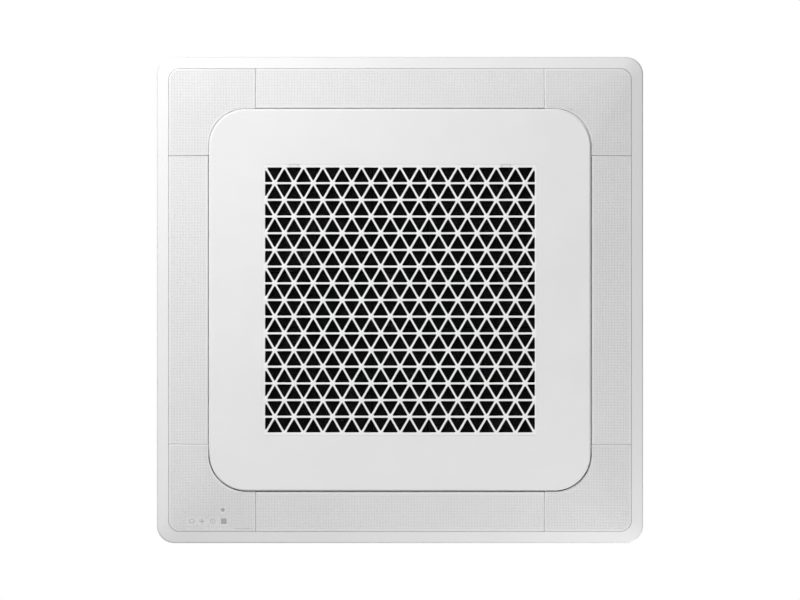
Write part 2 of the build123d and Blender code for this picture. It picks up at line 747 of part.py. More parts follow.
hose_start = pump_x + pump_radius + 2
hose_end = cabinet_size / 2 - 14
hose_straight = 20.0
with BuildPart() as drain_hose:
    with BuildLine():
        FilletPolyline(
            (hose_start, pump_y, drain_z),
            (hose_start + hose_straight, pump_y, drain_z),
            (hose_end - hose_straight, drain_y, drain_z),
            (hose_end, drain_y, drain_z),
            radius=30,
        )
    with BuildSketch(Plane(origin=(hose_start, pump_y, drain_z), z_dir=(1, 0, 0))):
        Circle(drain_outer)
        Circle(drain_inner, mode=Mode.SUBTRACT)
    sweep()
drain_hose.part.label = "drain_hose"
export_step(drain_hose.part, "parts/drain_hose.step")

port_reach = 36.0
port_plane = Plane(origin=(cabinet_size / 2, drain_y, drain_z), z_dir=(1, 0, 0))
with BuildPart() as drain_port:
    with BuildSketch(port_plane):
        Circle(port_radius)
    extrude(amount=port_reach)
    with BuildSketch(port_plane):
        Circle(port_radius)
    extrude(amount=-14)
    with BuildSketch(port_plane):
        Circle(port_radius + 6)
    extrude(amount=3)
    with BuildSketch(port_plane):
        Circle(drain_outer)
    extrude(amount=port_reach, mode=Mode.SUBTRACT)
    with BuildSketch(port_plane):
        Circle(drain_inner)
    extrude(amount=-22)
    with BuildSketch(port_plane.offset(-22)):
        Circle(drain_inner - 2.5)
    extrude(amount=port_reach + 22, mode=Mode.SUBTRACT)
drain_port.part.label = "drain_port"
export_step(drain_port.part, "parts/drain_port.step")

# ---- Electrics, below the bell mouth's plate ----
box_x = 240.0
box_y = 56.0
box_z = 32.0
box_at_y = 235.0
box_top = mouth_plate_top - wall
with BuildPart() as control_box:
    with BuildSketch(Plane.XY.offset(box_top)):
        with Locations((0, box_at_y)):
            RectangleRounded(box_x, box_y, 3)
    extrude(amount=-box_z)
    with BuildSketch(Plane.XY.offset(box_top - 1)):
        with Locations((0, box_at_y)):
            RectangleRounded(box_x - 2, box_y - 2, 2)
    extrude(amount=-box_z, mode=Mode.SUBTRACT)
    with BuildSketch(Plane.XY.offset(box_top)):
        with Locations((-box_x / 2 + 6, box_at_y), (box_x / 2 - 6, box_at_y)):
            Rectangle(11, 10)
    extrude(amount=-box_z)
    with BuildSketch(Plane.XY.offset(box_top - box_z)):
        with Locations((-box_x / 2 + 6, box_at_y), (box_x / 2 - 6, box_at_y)):
            Circle(1.6)
    extrude(amount=10, mode=Mode.SUBTRACT)
control_box.part.label = "control_box"
export_step(control_box.part, "parts/control_box.step")

with BuildPart() as control_box_cover:
    with BuildSketch(Plane.XY.offset(box_top - box_z)):
        with Locations((0, box_at_y)):
            RectangleRounded(box_x, box_y, 3)
        with Locations((-box_x / 2 + 6, box_at_y), (box_x / 2 - 6, box_at_y)):
            Circle(1.6, mode=Mode.SUBTRACT)
    extrude(amount=-1.2)
control_box_cover.part.label = "control_box_cover"
export_step(control_box_cover.part, "parts/control_box_cover.step")

with BuildPart() as control_box_screws:
    for x in (-box_x / 2 + 6, box_x / 2 - 6):
        under = Plane(origin=(x, box_at_y, box_top - box_z - 1.2), z_dir=(0, 0, -1))
        screw(under, 3.5, 2.2, 1.5, 9)
control_box_screws.part.label = "control_box_screws"
export_step(control_box_screws.part, "parts/control_box_screws.step")

board_top = box_top - 6
board_x = -24.0  # board's centre
board_length = 150.0
board_width = 46.0
board_posts = [
    (board_x + ex * (board_length / 2 - 9), box_at_y + ey * (board_width / 2 - 7))
    for ex in (-1, 1)
    for ey in (-1, 1)
]
with BuildPart() as control_board:
    with BuildSketch(Plane.XY.offset(board_top)):
        with Locations((board_x, box_at_y)):
            Rectangle(board_length, board_width)
    extrude(amount=-1.6)
    with BuildSketch(Plane.XY.offset(board_top)):
        with Locations(board_posts):
            Circle(2.5)
    extrude(amount=5)
    # Capacitors, relays and a connector
    with BuildSketch(Plane.XY.offset(board_top - 1.6)):
        with Locations((board_x - 58, box_at_y - 10), (board_x - 58, box_at_y + 12)):
            Circle(7)
        with Locations((board_x - 32, box_at_y - 8), (board_x - 12, box_at_y - 8)):
            Rectangle(15, 20)
        with Locations((board_x + 24, box_at_y + 14)):
            Rectangle(60, 8)
    extrude(amount=-14)
control_board.part.label = "control_board"
export_step(control_board.part, "parts/control_board.step")

with BuildPart() as terminal_block:
    with BuildSketch(Plane.XY.offset(box_top - 1)):
        with Locations((80, box_at_y)):
            Rectangle(44, 30)
    extrude(amount=-16)
    with BuildSketch(Plane.XY.offset(box_top - 17)):
        with Locations((80, box_at_y)):
            with GridLocations(10, 14, 4, 2):
                Circle(3.2)
    extrude(amount=6, mode=Mode.SUBTRACT)
terminal_block.part.label = "terminal_block"
export_step(terminal_block.part, "parts/terminal_block.step")

cable_plane = Plane(origin=(cable_x, cabinet_size / 2, cable_z), z_dir=(0, 1, 0))
with BuildPart() as cable_grommet:
    with BuildSketch(cable_plane):
        Circle(grommet_radius)
    extrude(amount=3)
    with BuildSketch(cable_plane.offset(-sheet)):
        Circle(grommet_radius)
    extrude(amount=-3)
    with BuildSketch(cable_plane.offset(-sheet)):
        Circle(grommet_radius - 3)
    extrude(amount=sheet)
    with BuildSketch(cable_plane.offset(-5)):
        Circle(cable_radius)
    extrude(amount=10, mode=Mode.SUBTRACT)
cable_grommet.part.label = "cable_grommet"
export_step(cable_grommet.part, "parts/cable_grommet.step")

# ---- Decoration panel ----
duct_top = cabinet_bottom + 1.0
ledge_drop = outer_drop - 3.5  # underside of the duct's outer wall at the border
inner_wall_low = (plate_size / 2, ceiling - 17.0)  # clear of the blade's inner edge as it tilts
inner_wall_lip = 2.5  # thickness of that wall's lower end
rise = (outlet_inner - inner_wall_low[0]) / (duct_top - inner_wall_low[1])
outer_low = (border_inner / 2 - 6.0, ceiling - ledge_drop)
outer_rise = (outlet_outer - outer_low[0]) / (duct_top - outer_low[1])


def inner_wall_at(z):
    """Distance of the duct's inner wall from the fan's axis at this height."""
    return inner_wall_low[0] + rise * (z - inner_wall_low[1])


def outer_wall_at(z):
    """Distance of the duct's outer wall from the fan's axis at this height."""
    return outer_low[0] + outer_rise * (z - outer_low[1])


def inner_wall_middle(radius):
    """Height inside the duct's inner wall at this distance from the fan's axis."""
    return inner_wall_low[1] + (radius - inner_wall_low[0]) / rise - wall / 2


skirt = cabinet_size / 2 + 1
bend = ceiling - border_side  # where the border's upright edge turns into its sloping face
plate_wall_size = 2 * inner_wall_low[0]
plate_wall_inner = plate_wall_size - 2 * inner_wall_lip
plate_wall_corner = plate_corner - inner_wall_lip
with BuildPart() as panel_frame:
    # Border: a band with a sloping face, hollowed from above
    with BuildSketch(Plane.XY.offset(ceiling)):
        RectangleRounded(panel_size, panel_size, panel_corner)
    extrude(amount=-border_side)
    with BuildSketch(Plane.XY.offset(ceiling - border_side)):
        RectangleRounded(panel_size, panel_size, panel_corner)
    with BuildSketch(Plane.XY.offset(ceiling - outer_drop)):
        RectangleRounded(border_inner, border_inner, border_corner)
    loft()
    with BuildSketch(Plane.XY.offset(ceiling - outer_drop)):
        RectangleRounded(border_inner, border_inner, border_corner)
    extrude(amount=outer_drop, mode=Mode.SUBTRACT)
    fillet(panel_frame.edges().filter_by_position(Axis.Z, bend - 0.01, bend + 0.01), 4.0)
    with BuildSketch(Plane.XY.offset(ceiling)):
        RectangleRounded(panel_size - 8, panel_size - 8, panel_corner - 4)
        RectangleRounded(border_inner + 8, border_inner + 8, border_corner + 4, mode=Mode.SUBTRACT)
    extrude(amount=-border_side + wall, mode=Mode.SUBTRACT)
    # Ledge against the ceiling, upright skirt and deck above the ceiling's face
    with BuildSketch(Plane.XY.offset(ceiling)):
        RectangleRounded(border_inner + 1, border_inner + 1, border_corner)
        RectangleRounded(2 * skirt, 2 * skirt, 20, mode=Mode.SUBTRACT)
    extrude(amount=-wall)
    with BuildSketch(Plane.XY.offset(ceiling - wall)):
        RectangleRounded(2 * (skirt + wall), 2 * (skirt + wall), 20 + wall)
        RectangleRounded(2 * skirt, 2 * skirt, 20, mode=Mode.SUBTRACT)
    extrude(amount=deck_height + wall)
    with BuildSketch(Plane.XY.offset(deck_top)):
        RectangleRounded(2 * (skirt + wall), 2 * (skirt + wall), 20 + wall)
        RectangleRounded(2 * opening_half, 2 * opening_half, 8, mode=Mode.SUBTRACT)
    extrude(amount=-wall)
    # Wall round the centre plate, and the wall of the intake opening
    with BuildSketch(Plane.XY.offset(inner_wall_low[1])):
        RectangleRounded(plate_wall_size, plate_wall_size, plate_corner)
        RectangleRounded(plate_wall_inner, plate_wall_inner, plate_wall_corner, mode=Mode.SUBTRACT)
    extrude(amount=deck_top - inner_wall_low[1])
    with BuildSketch(Plane.XY.offset(ceiling - 14)):
        RectangleRounded(2 * opening_half + 2 * wall, 2 * opening_half + 2 * wall, 11)
        RectangleRounded(2 * opening_half, 2 * opening_half, 8, mode=Mode.SUBTRACT)
    extrude(amount=deck_top - ceiling + 14)
    for outwards in sides.values():
        # Duct: cleared first, then its sloping walls and its two end walls
        with BuildSketch(side_plane(outwards)):
            Polygon(
                (inner_wall_low[0], plate_face - 5),
                inner_wall_low,
                (inner_wall_at(deck_top + 1), deck_top + 1),
                (outer_wall_at(deck_top + 1), deck_top + 1),
                outer_low,
                (border_inner / 2, outer_low[1]),
                (border_inner / 2, plate_face - 5),
                align=None,
            )
        extrude(amount=end_wall, both=True, mode=Mode.SUBTRACT)
        with BuildSketch(side_plane(outwards)):
            Polygon(
                inner_wall_low,
                (inner_wall_low[0] - inner_wall_lip, inner_wall_low[1]),
                (inner_wall_at(deck_top) - wall, deck_top),
                (inner_wall_at(deck_top), deck_top),
                align=None,
            )
            Polygon(
                outer_low,
                (border_inner / 2 + 0.5, outer_low[1]),
                (border_inner / 2 + 0.5, outer_low[1] + 2),
                (outer_wall_at(deck_top) + 4, deck_top),
                (outer_wall_at(deck_top), deck_top),
                align=None,
            )
        extrude(amount=end_wall + wall, both=True)
        for end in (-1, 1):
            with BuildSketch(side_plane(outwards, end * (end_wall + wall))):
                Polygon(
                    (ring_inner - 2, ring_height(ring_inner - 2) + 3.5),
                    (ring_inner - 2, inner_wall_low[1]),
                    (inner_wall_low[0] - 1, inner_wall_low[1]),
                    (inner_wall_at(deck_top), deck_top),
                    (outer_wall_at(deck_top), deck_top),
                    (border_inner / 2, outer_low[1] + 1),
                    (border_inner / 2, ring_height(border_inner / 2) + 3.5),
                    align=None,
                )
            extrude(amount=end * wall)
            with BuildSketch(side_plane(outwards, end * (end_wall + wall))):
                with Locations((blade_axis_r, blade_axis_z)):
                    Circle(bush_radius)
            extrude(amount=end * wall, mode=Mode.SUBTRACT)
    # Ears that the grille's hinge pins turn in
    for x in (-hinge_x, hinge_x):
        with BuildSketch(Plane(origin=(x, 0, 0), x_dir=(0, 1, 0), z_dir=(1, 0, 0))):
            Polygon(
                (hinge_y - knuckle_radius, hinge_z),
                (hinge_y + knuckle_radius, hinge_z),
                (hinge_y + knuckle_radius, inner_wall_middle(hinge_y + knuckle_radius)),
                (hinge_y - knuckle_radius, inner_wall_middle(hinge_y - knuckle_radius)),
                align=None,
            )
            with Locations((hinge_y, hinge_z)):
                Circle(knuckle_radius)
                Circle(pin_radius + running_gap, mode=Mode.SUBTRACT)
        extrude(amount=ear_width / 2, both=True)
    with Locations([(x, y, deck_top) for x, y in panel_screw_places]):
        Cylinder(panel_screw_radius + 0.2, 4 * wall, mode=Mode.SUBTRACT)
panel_frame.part.label = "panel_frame"
export_step(panel_frame.part, "parts/panel_frame.step")

with BuildPart() as panel_screws:
    for x, y in panel_screw_places:
        under = Plane(origin=(x, y, deck_top - wall), z_dir=(0, 0, -1))
        screw(under, 6, 3.5, panel_screw_radius, pan_bottom - deck_top + wall - 0.3)
panel_screws.part.label = "panel_screws"
export_step(panel_screws.part, "parts/panel_screws.step")

gasket_outer = cabinet_size / 2 - rim_width - sheet - 2
with BuildPart() as panel_gasket:
    with BuildSketch(Plane.XY.offset(deck_top)):
        Polygon(*cut_square(cabinet_size / 2 - gasket_outer), align=None)
        RectangleRounded(2 * opening_half + 16, 2 * opening_half + 16, 12, mode=Mode.SUBTRACT)
        for nx, ny in sides.values():
            middle = (outlet_inner + outlet_outer) / 2
            width = outlet_outer - outlet_inner
            with Locations((nx * middle, ny * middle)):
                Rectangle(
                    width if nx else 2 * outlet_half, width if ny else 2 * outlet_half, mode=Mode.SUBTRACT
                )
        for x, y in panel_screw_places:
            with Locations(Location((x, y, 0), (0, 0, 45))):
                Rectangle(tab_width + 8, tab_width + 8, mode=Mode.SUBTRACT)
    extrude(amount=pan_bottom - deck_top)
panel_gasket.part.label = "panel_gasket"
export_step(panel_gasket.part, "parts/panel_gasket.step")

# The sloping ring that the corner covers are cut from
with BuildPart() as ring_skin:
    with BuildSketch(Plane.XY.offset(ceiling - inner_drop)):
        RectangleRounded(2 * ring_inner, 2 * ring_inner, plate_corner + plate_gap)
    with BuildSketch(Plane.XY.offset(ring_height(ring_outer))):
        RectangleRounded(2 * ring_outer, 2 * ring_outer, border_corner)
    loft()
    with BuildSketch(Plane.XY.offset(ring_height(ring_outer))):
        RectangleRounded(2 * ring_outer, 2 * ring_outer, border_corner)
    extrude(amount=skin)
    with BuildSketch(Plane.XY.offset(ceiling - inner_drop + skin)):
        RectangleRounded(2 * ring_inner, 2 * ring_inner, plate_corner + plate_gap)
    with BuildSketch(Plane.XY.offset(ring_height(ring_outer) + skin)):
        RectangleRounded(2 * ring_outer, 2 * ring_outer, border_corner)
    loft(mode=Mode.SUBTRACT)
    with BuildSketch(Plane.XY.offset(plate_face)):
        RectangleRounded(2 * ring_inner, 2 * ring_inner, plate_corner + plate_gap)
    extrude(amount=plate_drop, mode=Mode.SUBTRACT)

icon_y = 431.5
lens_places = {"timer": -406.6, "fan": -385.2, "clock": -363.8, "receiver": -343.7}
dot_place = (-345.3, 409.1)
lens_size = 10.7
with BuildPart() as lens_posts:
    with BuildSketch(Plane.XY.offset(plate_face)):
        with Locations([(x, icon_y) for name, x in lens_places.items() if name != "receiver"]):
            Circle(6.5)
        with Locations((lens_places["receiver"], icon_y)):
            RectangleRounded(lens_size, lens_size, 0.8)
        with Locations(dot_place):
            Circle(3.6)
    extrude(amount=plate_drop)

post_at = ring_outer - 17.5
post_along = 322.0
post_low = ring_height(post_at) + skin - 1
post_high = ceiling - wall - 0.6
for name, (sx, sy) in corners.items():
    with BuildPart() as corner_cover:
        with Locations((sx * (end_wall + 250), sy * (end_wall + 250), ceiling)):
            Box(500, 500, 4 * plate_drop)
        add(ring_skin.part, mode=Mode.INTERSECT)
        if name == "rear_left":
            add(lens_posts.part, mode=Mode.SUBTRACT)
        # Snap posts under the ledge
        with BuildSketch(Plane.XY.offset(post_low)):
            with Locations((sx * post_at, sy * post_along), (sx * post_along, sy * post_at)):
                RectangleRounded(9, 9, 1.5)
        extrude(amount=post_high - post_low)
    corner_cover.part.label = f"corner_cover_{name}"
    export_step(corner_cover.part, f"parts/corner_cover_{name}.step")

with BuildPart() as indicator_lenses:
    add(ring_skin.part)
    add(lens_posts.part, mode=Mode.INTERSECT)
indicator_lenses.part.label = "indicator_lenses"
export_step(indicator_lenses.part, "parts/indicator_lenses.step")

display_z = ring_height(icon_y) + skin + 2.2
display_place = (-372.0, 404.0)
display_posts = [(-398.0, 394.0), (-372.0, 400.0), (-340.0, 400.0)]
post_top = ring_height(display_posts[1][1]) + skin - 0.6
with BuildPart() as display_board:
    with BuildSketch(Plane.XY.offset(display_z)):
        with Locations(display_place):
            Rectangle(80, 30)
    extrude(amount=1.6)
    with BuildSketch(Plane.XY.offset(display_z)):
        with Locations(display_posts):
            Circle(3)
    extrude(amount=post_top - display_z)
    add(ring_skin.part, mode=Mode.SUBTRACT)
display_board.part.label = "display_board"
export_step(display_board.part, "parts/display_board.step")

# ---- Blades, with their bushes and motors ----
for name, outwards in sides.items():
    half = blade_length / 2
    with BuildPart() as blade:
        with BuildSketch(side_plane(outwards)):
            with BuildLine():
                FilletPolyline(
                    (ring_inner, ring_height(ring_inner)),
                    (ring_outer, ring_height(ring_outer)),
                    (ring_outer, ring_height(ring_outer) + skin),
                    (blade_axis_r + 24, ring_height(blade_axis_r + 24) + 0.7 * blade_thick),
                    (blade_axis_r - 4, ring_height(blade_axis_r - 4) + blade_thick),
                    (ring_inner, ring_height(ring_inner) + 0.65 * blade_thick),
                    radius=[2.4, 1.0, 1.0, 20, 10, 2.4],
                    close=True,
                )
            make_face()
        extrude(amount=half, both=True)
        # Ears at the ends, and the journals in them
        for end in (-1, 1):
            with BuildSketch(side_plane(outwards, end * half)):
                with Locations((blade_axis_r, blade_axis_z)):
                    Circle(5.5)
                    Rectangle(11, 7, align=(Align.CENTER, Align.MAX))
            extrude(amount=end * 5)
            reach = seam + wall + (9 if end > 0 else 2)
            with BuildSketch(side_plane(outwards, end * half)):
                with Locations((blade_axis_r, blade_axis_z)):
                    Circle(journal_radius)
            extrude(amount=-end * reach)
    blade.part.label = f"blade_{name}"
    export_step(blade.part, f"parts/blade_{name}.step")

    with BuildPart() as louvre_motor:
        face = side_plane(outwards, end_wall + wall)
        with BuildSketch(face):
            with Locations((blade_axis_r, blade_axis_z + louvre_motor_rise)):
                Circle(louvre_motor_radius)
                RectangleRounded(2 * louvre_motor_radius + 14, 8, 3)
                for ear in (-1, 1):
                    with Locations((ear * (louvre_motor_radius + 4), 0)):
                        Circle(1.6, mode=Mode.SUBTRACT)
        extrude(amount=-1)
        with BuildSketch(face):
            with Locations((blade_axis_r, blade_axis_z + louvre_motor_rise)):
                Circle(louvre_motor_radius)
        extrude(amount=-louvre_motor_length)
        with BuildSketch(face.offset(-4)):
            with Locations((blade_axis_r, blade_axis_z + louvre_motor_rise + 6)):
                Rectangle(12, 12)
        extrude(amount=-(louvre_motor_length - 6))
        with BuildSketch(face):
            with Locations((blade_axis_r, blade_axis_z)):
                Circle(journal_radius + running_gap)
        extrude(amount=-12, mode=Mode.SUBTRACT)
    louvre_motor.part.label = f"blade_motor_{name}"
    export_step(louvre_motor.part, f"parts/blade_motor_{name}.step")

with BuildPart() as blade_bushes:
    for outwards in sides.values():
        for end in (-1, 1):
            with BuildSketch(side_plane(outwards, end * end_wall)):
                with Locations((blade_axis_r, blade_axis_z)):
                    Circle(bush_radius)
                    Circle(journal_radius + running_gap, mode=Mode.SUBTRACT)
            extrude(amount=-end * wall)
            with BuildSketch(side_plane(outwards, end * end_wall)):
                with Locations((blade_axis_r, blade_axis_z)):
                    Circle(bush_radius + 1.2)
                    Circle(journal_radius + running_gap, mode=Mode.SUBTRACT)
            extrude(amount=end * 0.8)
blade_bushes.part.label = "blade_bushes"
export_step(blade_bushes.part, "parts/blade_bushes.step")

# ---- Intake grille ----
window_x = 2 * (lattice_half_x + lattice_rim)
window_y = 2 * (lattice_half_y + lattice_rim)
rim_outer = plate_size / 2 - 1.5
rim_inner = rim_outer - 2.5
rib = 2.5
rib_height = 6.0
rib_at = plate_size / 2 - 52.0
rib_length = plate_size - 140.0
rim_height = 8.0
slider_low = plate_back + 2.0
slider_thick = 2.5
slot_y = lattice_half_y + lattice_rim - 0.2  # outer edge of the latch tab
slot_gap = 0.6
side_gap = 0.3
guide_at = latch_width / 2 + 2.4
guide_y = 55.0 - plate_size / 2
bridge_low = slider_low + slider_thick + side_gap
filter_low = slider_low + slider_thick + 0.5
hook_low = filter_low + filter_thick + side_gap
hook_reach = filter_y - 4
pin_half = ear_width / 2 + side_gap + knuckle_width
pin_head_radius = knuckle_radius - 0.6
hook_x = 150.0
side_guide_y = 120.0
with BuildPart() as intake_grille:
    with BuildSketch(Plane.XY.offset(plate_face)):
        RectangleRounded(plate_size, plate_size, plate_corner)
    extrude(amount=skin)
    fillet(intake_grille.edges().group_by(Axis.Z)[0], 2.0)
    with BuildSketch(Plane.XY.offset(plate_face)):
        Rectangle(window_x, window_y)
        with Locations((-latch_x, -slot_y), (latch_x, -slot_y)):
            Rectangle(latch_width + 2 * slot_gap, 2 * slot_gap)
    extrude(amount=skin, mode=Mode.SUBTRACT)
    # Rim round the back, open at the hinge ears and the latches
    with BuildSketch(Plane.XY.offset(plate_back)):
        RectangleRounded(2 * rim_outer, 2 * rim_outer, plate_corner - 1.5)
        RectangleRounded(2 * rim_inner, 2 * rim_inner, plate_corner - 4, mode=Mode.SUBTRACT)
        with Locations((-hinge_x, hinge_y + 8), (hinge_x, hinge_y + 8)):
            Rectangle(24, 12, mode=Mode.SUBTRACT)
        with Locations((-latch_x, -rim_outer), (latch_x, -rim_outer)):
            Rectangle(latch_width + 2, 12, mode=Mode.SUBTRACT)
    extrude(amount=rim_height)
    # Stiffening ribs across the back of the plate
    with BuildSketch(Plane.XY.offset(plate_back)):
        with Locations((-rib_at, 0), (rib_at, 0)):
            Rectangle(rib, rib_length)
        with Locations((0, rib_at)):
            Rectangle(rib_length, rib)
        with Locations((0, -rib_at - 27)):
            Rectangle(2 * latch_x - 40, rib)
    extrude(amount=rib_height)
    # Knuckles for the hinge pins, one each side of the frame's ears, with pockets in the plate
    # for the ears and for the pins' heads
    for x, inner in ((-hinge_x, 1), (hinge_x, -1)):
        with Locations(Plane(origin=(x, hinge_y, hinge_z), z_dir=(1, 0, 0))):
            Cylinder(knuckle_radius + loose, ear_width + 2 * side_gap, mode=Mode.SUBTRACT)
        with Locations(Plane(origin=(x + inner * (pin_half + 0.5), hinge_y, hinge_z), z_dir=(1, 0, 0))):
            Cylinder(pin_head_radius + 0.1, 1.2, mode=Mode.SUBTRACT)
        for near in (-1, 1):
            middle = x + near * (ear_width / 2 + side_gap + knuckle_width / 2)
            with BuildSketch(Plane(origin=(middle, 0, 0), x_dir=(0, 1, 0), z_dir=(1, 0, 0))):
                with Locations((hinge_y, hinge_z)):
                    Circle(knuckle_radius)
                    Rectangle(2 * knuckle_radius, hinge_z - plate_back, align=(Align.CENTER, Align.MAX))
                    Circle(pin_radius, mode=Mode.SUBTRACT)
            extrude(amount=knuckle_width / 2, both=True)
    # Guides each side of the latches, with a bridge over each
    for x in (-latch_x, latch_x):
        with BuildSketch(Plane.XY.offset(plate_back)):
            with Locations((x - guide_at, guide_y), (x + guide_at, guide_y)):
                Rectangle(3, 36)
        extrude(amount=bridge_low - plate_back)
        with BuildSketch(Plane.XY.offset(bridge_low)):
            with Locations((x, guide_y)):
                Rectangle(2 * guide_at + 3, 12)
        extrude(amount=1.5)
    # Hooks for the filter's frame, with room on the hinge side for it to slide out
    for x in (-hook_x, hook_x):
        with BuildSketch(Plane(origin=(x, 0, 0), x_dir=(0, 1, 0), z_dir=(1, 0, 0))):
            for way, room in ((-1, 2), (1, filter_travel + 1)):
                post = filter_y + room
                Polygon(
                    (way * (post + 3), plate_back),
                    (way * (post + 3), hook_low + 1.5),
                    (way * hook_reach, hook_low + 1.5),
                    (way * hook_reach, hook_low),
                    (way * post, hook_low),
                    (way * post, filter_low - side_gap),
                    (way * hook_reach, filter_low - side_gap),
                    (way * hook_reach, plate_back),
                    align=None,
                )
        extrude(amount=10, both=True)
    with BuildSketch(Plane.XY.offset(plate_back)):
        with GridLocations(2 * (filter_x + 2.5), 2 * side_guide_y, 2, 2):
            Rectangle(3, 40)
    extrude(amount=filter_low + 3 - plate_back)
intake_grille.part.label = "intake_grille"
export_step(intake_grille.part, "parts/intake_grille.step")

with BuildPart() as hinge_pins:
    for x, inner in ((-hinge_x, 1), (hinge_x, -1)):
        with Locations(Plane(origin=(x, hinge_y, hinge_z), z_dir=(1, 0, 0))):
            Cylinder(pin_radius, 2 * pin_half)
        with Locations(Plane(origin=(x + inner * (pin_half + 0.5), hinge_y, hinge_z), z_dir=(1, 0, 0))):
            Cylinder(pin_head_radius, 1)
hinge_pins.part.label = "hinge_pins"
export_step(hinge_pins.part, "parts/hinge_pins.step")

lattice_low = plate_face + 0.4
hole_radius = (triangle_side / 2 - lattice_bar * sqrt(3) / 2) / (sqrt(3) / 2)
tab_inner = lattice_half_y - 1.8
notch_out = slot_y + slot_gap
notch_length = notch_out - tab_inner + latch_travel
with BuildPart() as grille_lattice:
    with BuildSketch(Plane.XY.offset(lattice_low)):
        Rectangle(window_x - 2 * side_gap, window_y - 2 * side_gap)
    extrude(amount=lattice_depth)
    with BuildSketch(Plane.XY.offset(plate_back)):
        Rectangle(window_x + 10, window_y + 10)
    extrude(amount=1.5)
    # Rows of triangular holes. Every second set ends in half triangles at the sides.
    with BuildSketch(Plane.XY.offset(lattice_low)):
        for row in range(lattice_rows):
            base = -lattice_half_y + row * triangle_height
            for third, turn in ((1, 90), (2, -90)):
                halves = (row + third + 1) % 2
                start = -lattice_half_x + (1 - halves) * triangle_side / 2
                y = base + third * triangle_height / 3
                with Locations([(start + n * triangle_side, y) for n in range(lattice_columns + halves)]):
                    RegularPolygon(hole_radius, 3, rotation=turn)
        Rectangle(2 * lattice_half_x, 2 * lattice_half_y, mode=Mode.INTERSECT)
    extrude(amount=2 * lattice_depth, mode=Mode.SUBTRACT)
    with BuildSketch(Plane.XY.offset(lattice_low)):
        for x in (-latch_x, latch_x):
            with Locations((x, -notch_out)):
                Rectangle(latch_width + 2 * slot_gap, notch_length, align=(Align.CENTER, Align.MIN))
    extrude(amount=2 * lattice_depth, mode=Mode.SUBTRACT)
grille_lattice.part.label = "grille_lattice"
export_step(grille_lattice.part, "parts/grille_lattice.step")

nose_out = rim_outer - 0.1
nose_top = inner_wall_low[1] - 2.0  # under the wall round the plate
for name, x in {"left": -latch_x, "right": latch_x}.items():
    with BuildPart() as latch:
        # Sliding strip, with an upright nose at one end and the thumb tab at the other
        with BuildSketch(Plane(origin=(x, 0, 0), x_dir=(0, 1, 0), z_dir=(1, 0, 0))):
            Polygon(
                (-tab_inner, plate_face + 0.3),
                (-tab_inner, slider_low + slider_thick),
                (-nose_out + 8.4, slider_low + slider_thick),
                (-nose_out + 8.4, nose_top),
                (-nose_out + 1.5, nose_top),
                (-nose_out, nose_top - 3),
                (-nose_out, slider_low),
                (-slot_y, slider_low),
                (-slot_y, plate_face + 0.3),
                align=None,
            )
        extrude(amount=latch_width / 2, both=True)
        fillet(latch.edges().filter_by(Axis.X).group_by(Axis.Z)[0], 0.8)
    latch.part.label = f"latch_{name}"
    export_step(latch.part, f"parts/latch_{name}.step")

# ---- Filter ----
net_thick = 0.8
filter_border = 8.0
net_x = filter_x - filter_border
net_y = filter_y - filter_border
with BuildPart() as filter_frame:
    with BuildSketch(Plane.XY.offset(filter_low)):
        RectangleRounded(2 * filter_x, 2 * filter_y, 6)
        Rectangle(2 * net_x, 2 * net_y, mode=Mode.SUBTRACT)
    extrude(amount=filter_thick)
    with BuildSketch(Plane.XY.offset(filter_low + net_thick)):
        with GridLocations(2 * net_x / 5, 0, 4, 1):
            Rectangle(3, 2 * net_y + 4)
        with GridLocations(0, 2 * net_y / 5, 1, 4):
            Rectangle(2 * net_x + 4, 3)
    extrude(amount=filter_thick - net_thick)
filter_frame.part.label = "filter_frame"
export_step(filter_frame.part, "parts/filter_frame.step")

with BuildPart() as filter_mesh:
    with BuildSketch(Plane.XY.offset(filter_low)):
        Rectangle(2 * net_x, 2 * net_y)
    extrude(amount=net_thick)
filter_mesh.part.label = "filter_mesh"
export_step(filter_mesh.part, "parts/filter_mesh.step")
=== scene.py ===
import json
import math

import bmesh
import bpy
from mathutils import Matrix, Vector
from mathutils.bvhtree import BVHTree


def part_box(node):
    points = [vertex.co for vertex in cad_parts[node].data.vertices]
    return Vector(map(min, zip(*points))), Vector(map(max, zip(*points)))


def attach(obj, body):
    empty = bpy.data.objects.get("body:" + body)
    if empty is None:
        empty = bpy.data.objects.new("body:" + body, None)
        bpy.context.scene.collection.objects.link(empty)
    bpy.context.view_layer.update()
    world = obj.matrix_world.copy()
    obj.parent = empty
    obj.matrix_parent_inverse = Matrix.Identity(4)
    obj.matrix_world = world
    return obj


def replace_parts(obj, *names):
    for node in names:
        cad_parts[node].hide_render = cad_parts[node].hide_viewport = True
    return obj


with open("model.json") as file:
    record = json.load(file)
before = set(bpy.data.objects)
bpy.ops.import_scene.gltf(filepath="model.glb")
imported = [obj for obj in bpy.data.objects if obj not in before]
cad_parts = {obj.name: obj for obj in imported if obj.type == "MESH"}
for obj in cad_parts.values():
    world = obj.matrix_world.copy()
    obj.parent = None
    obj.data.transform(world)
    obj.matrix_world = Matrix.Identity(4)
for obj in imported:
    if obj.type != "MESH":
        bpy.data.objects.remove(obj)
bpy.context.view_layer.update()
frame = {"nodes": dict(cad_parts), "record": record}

MM = 0.001
CEILING = -0.146  # the ceiling's face, in the row frame
nodes = frame["nodes"]
record = frame["record"]
slots = {entry["slot"]: entry for entry in record["materials"]}
slot_of = {entry["node"]: entry["material_slot"] for entry in record["subparts"]}


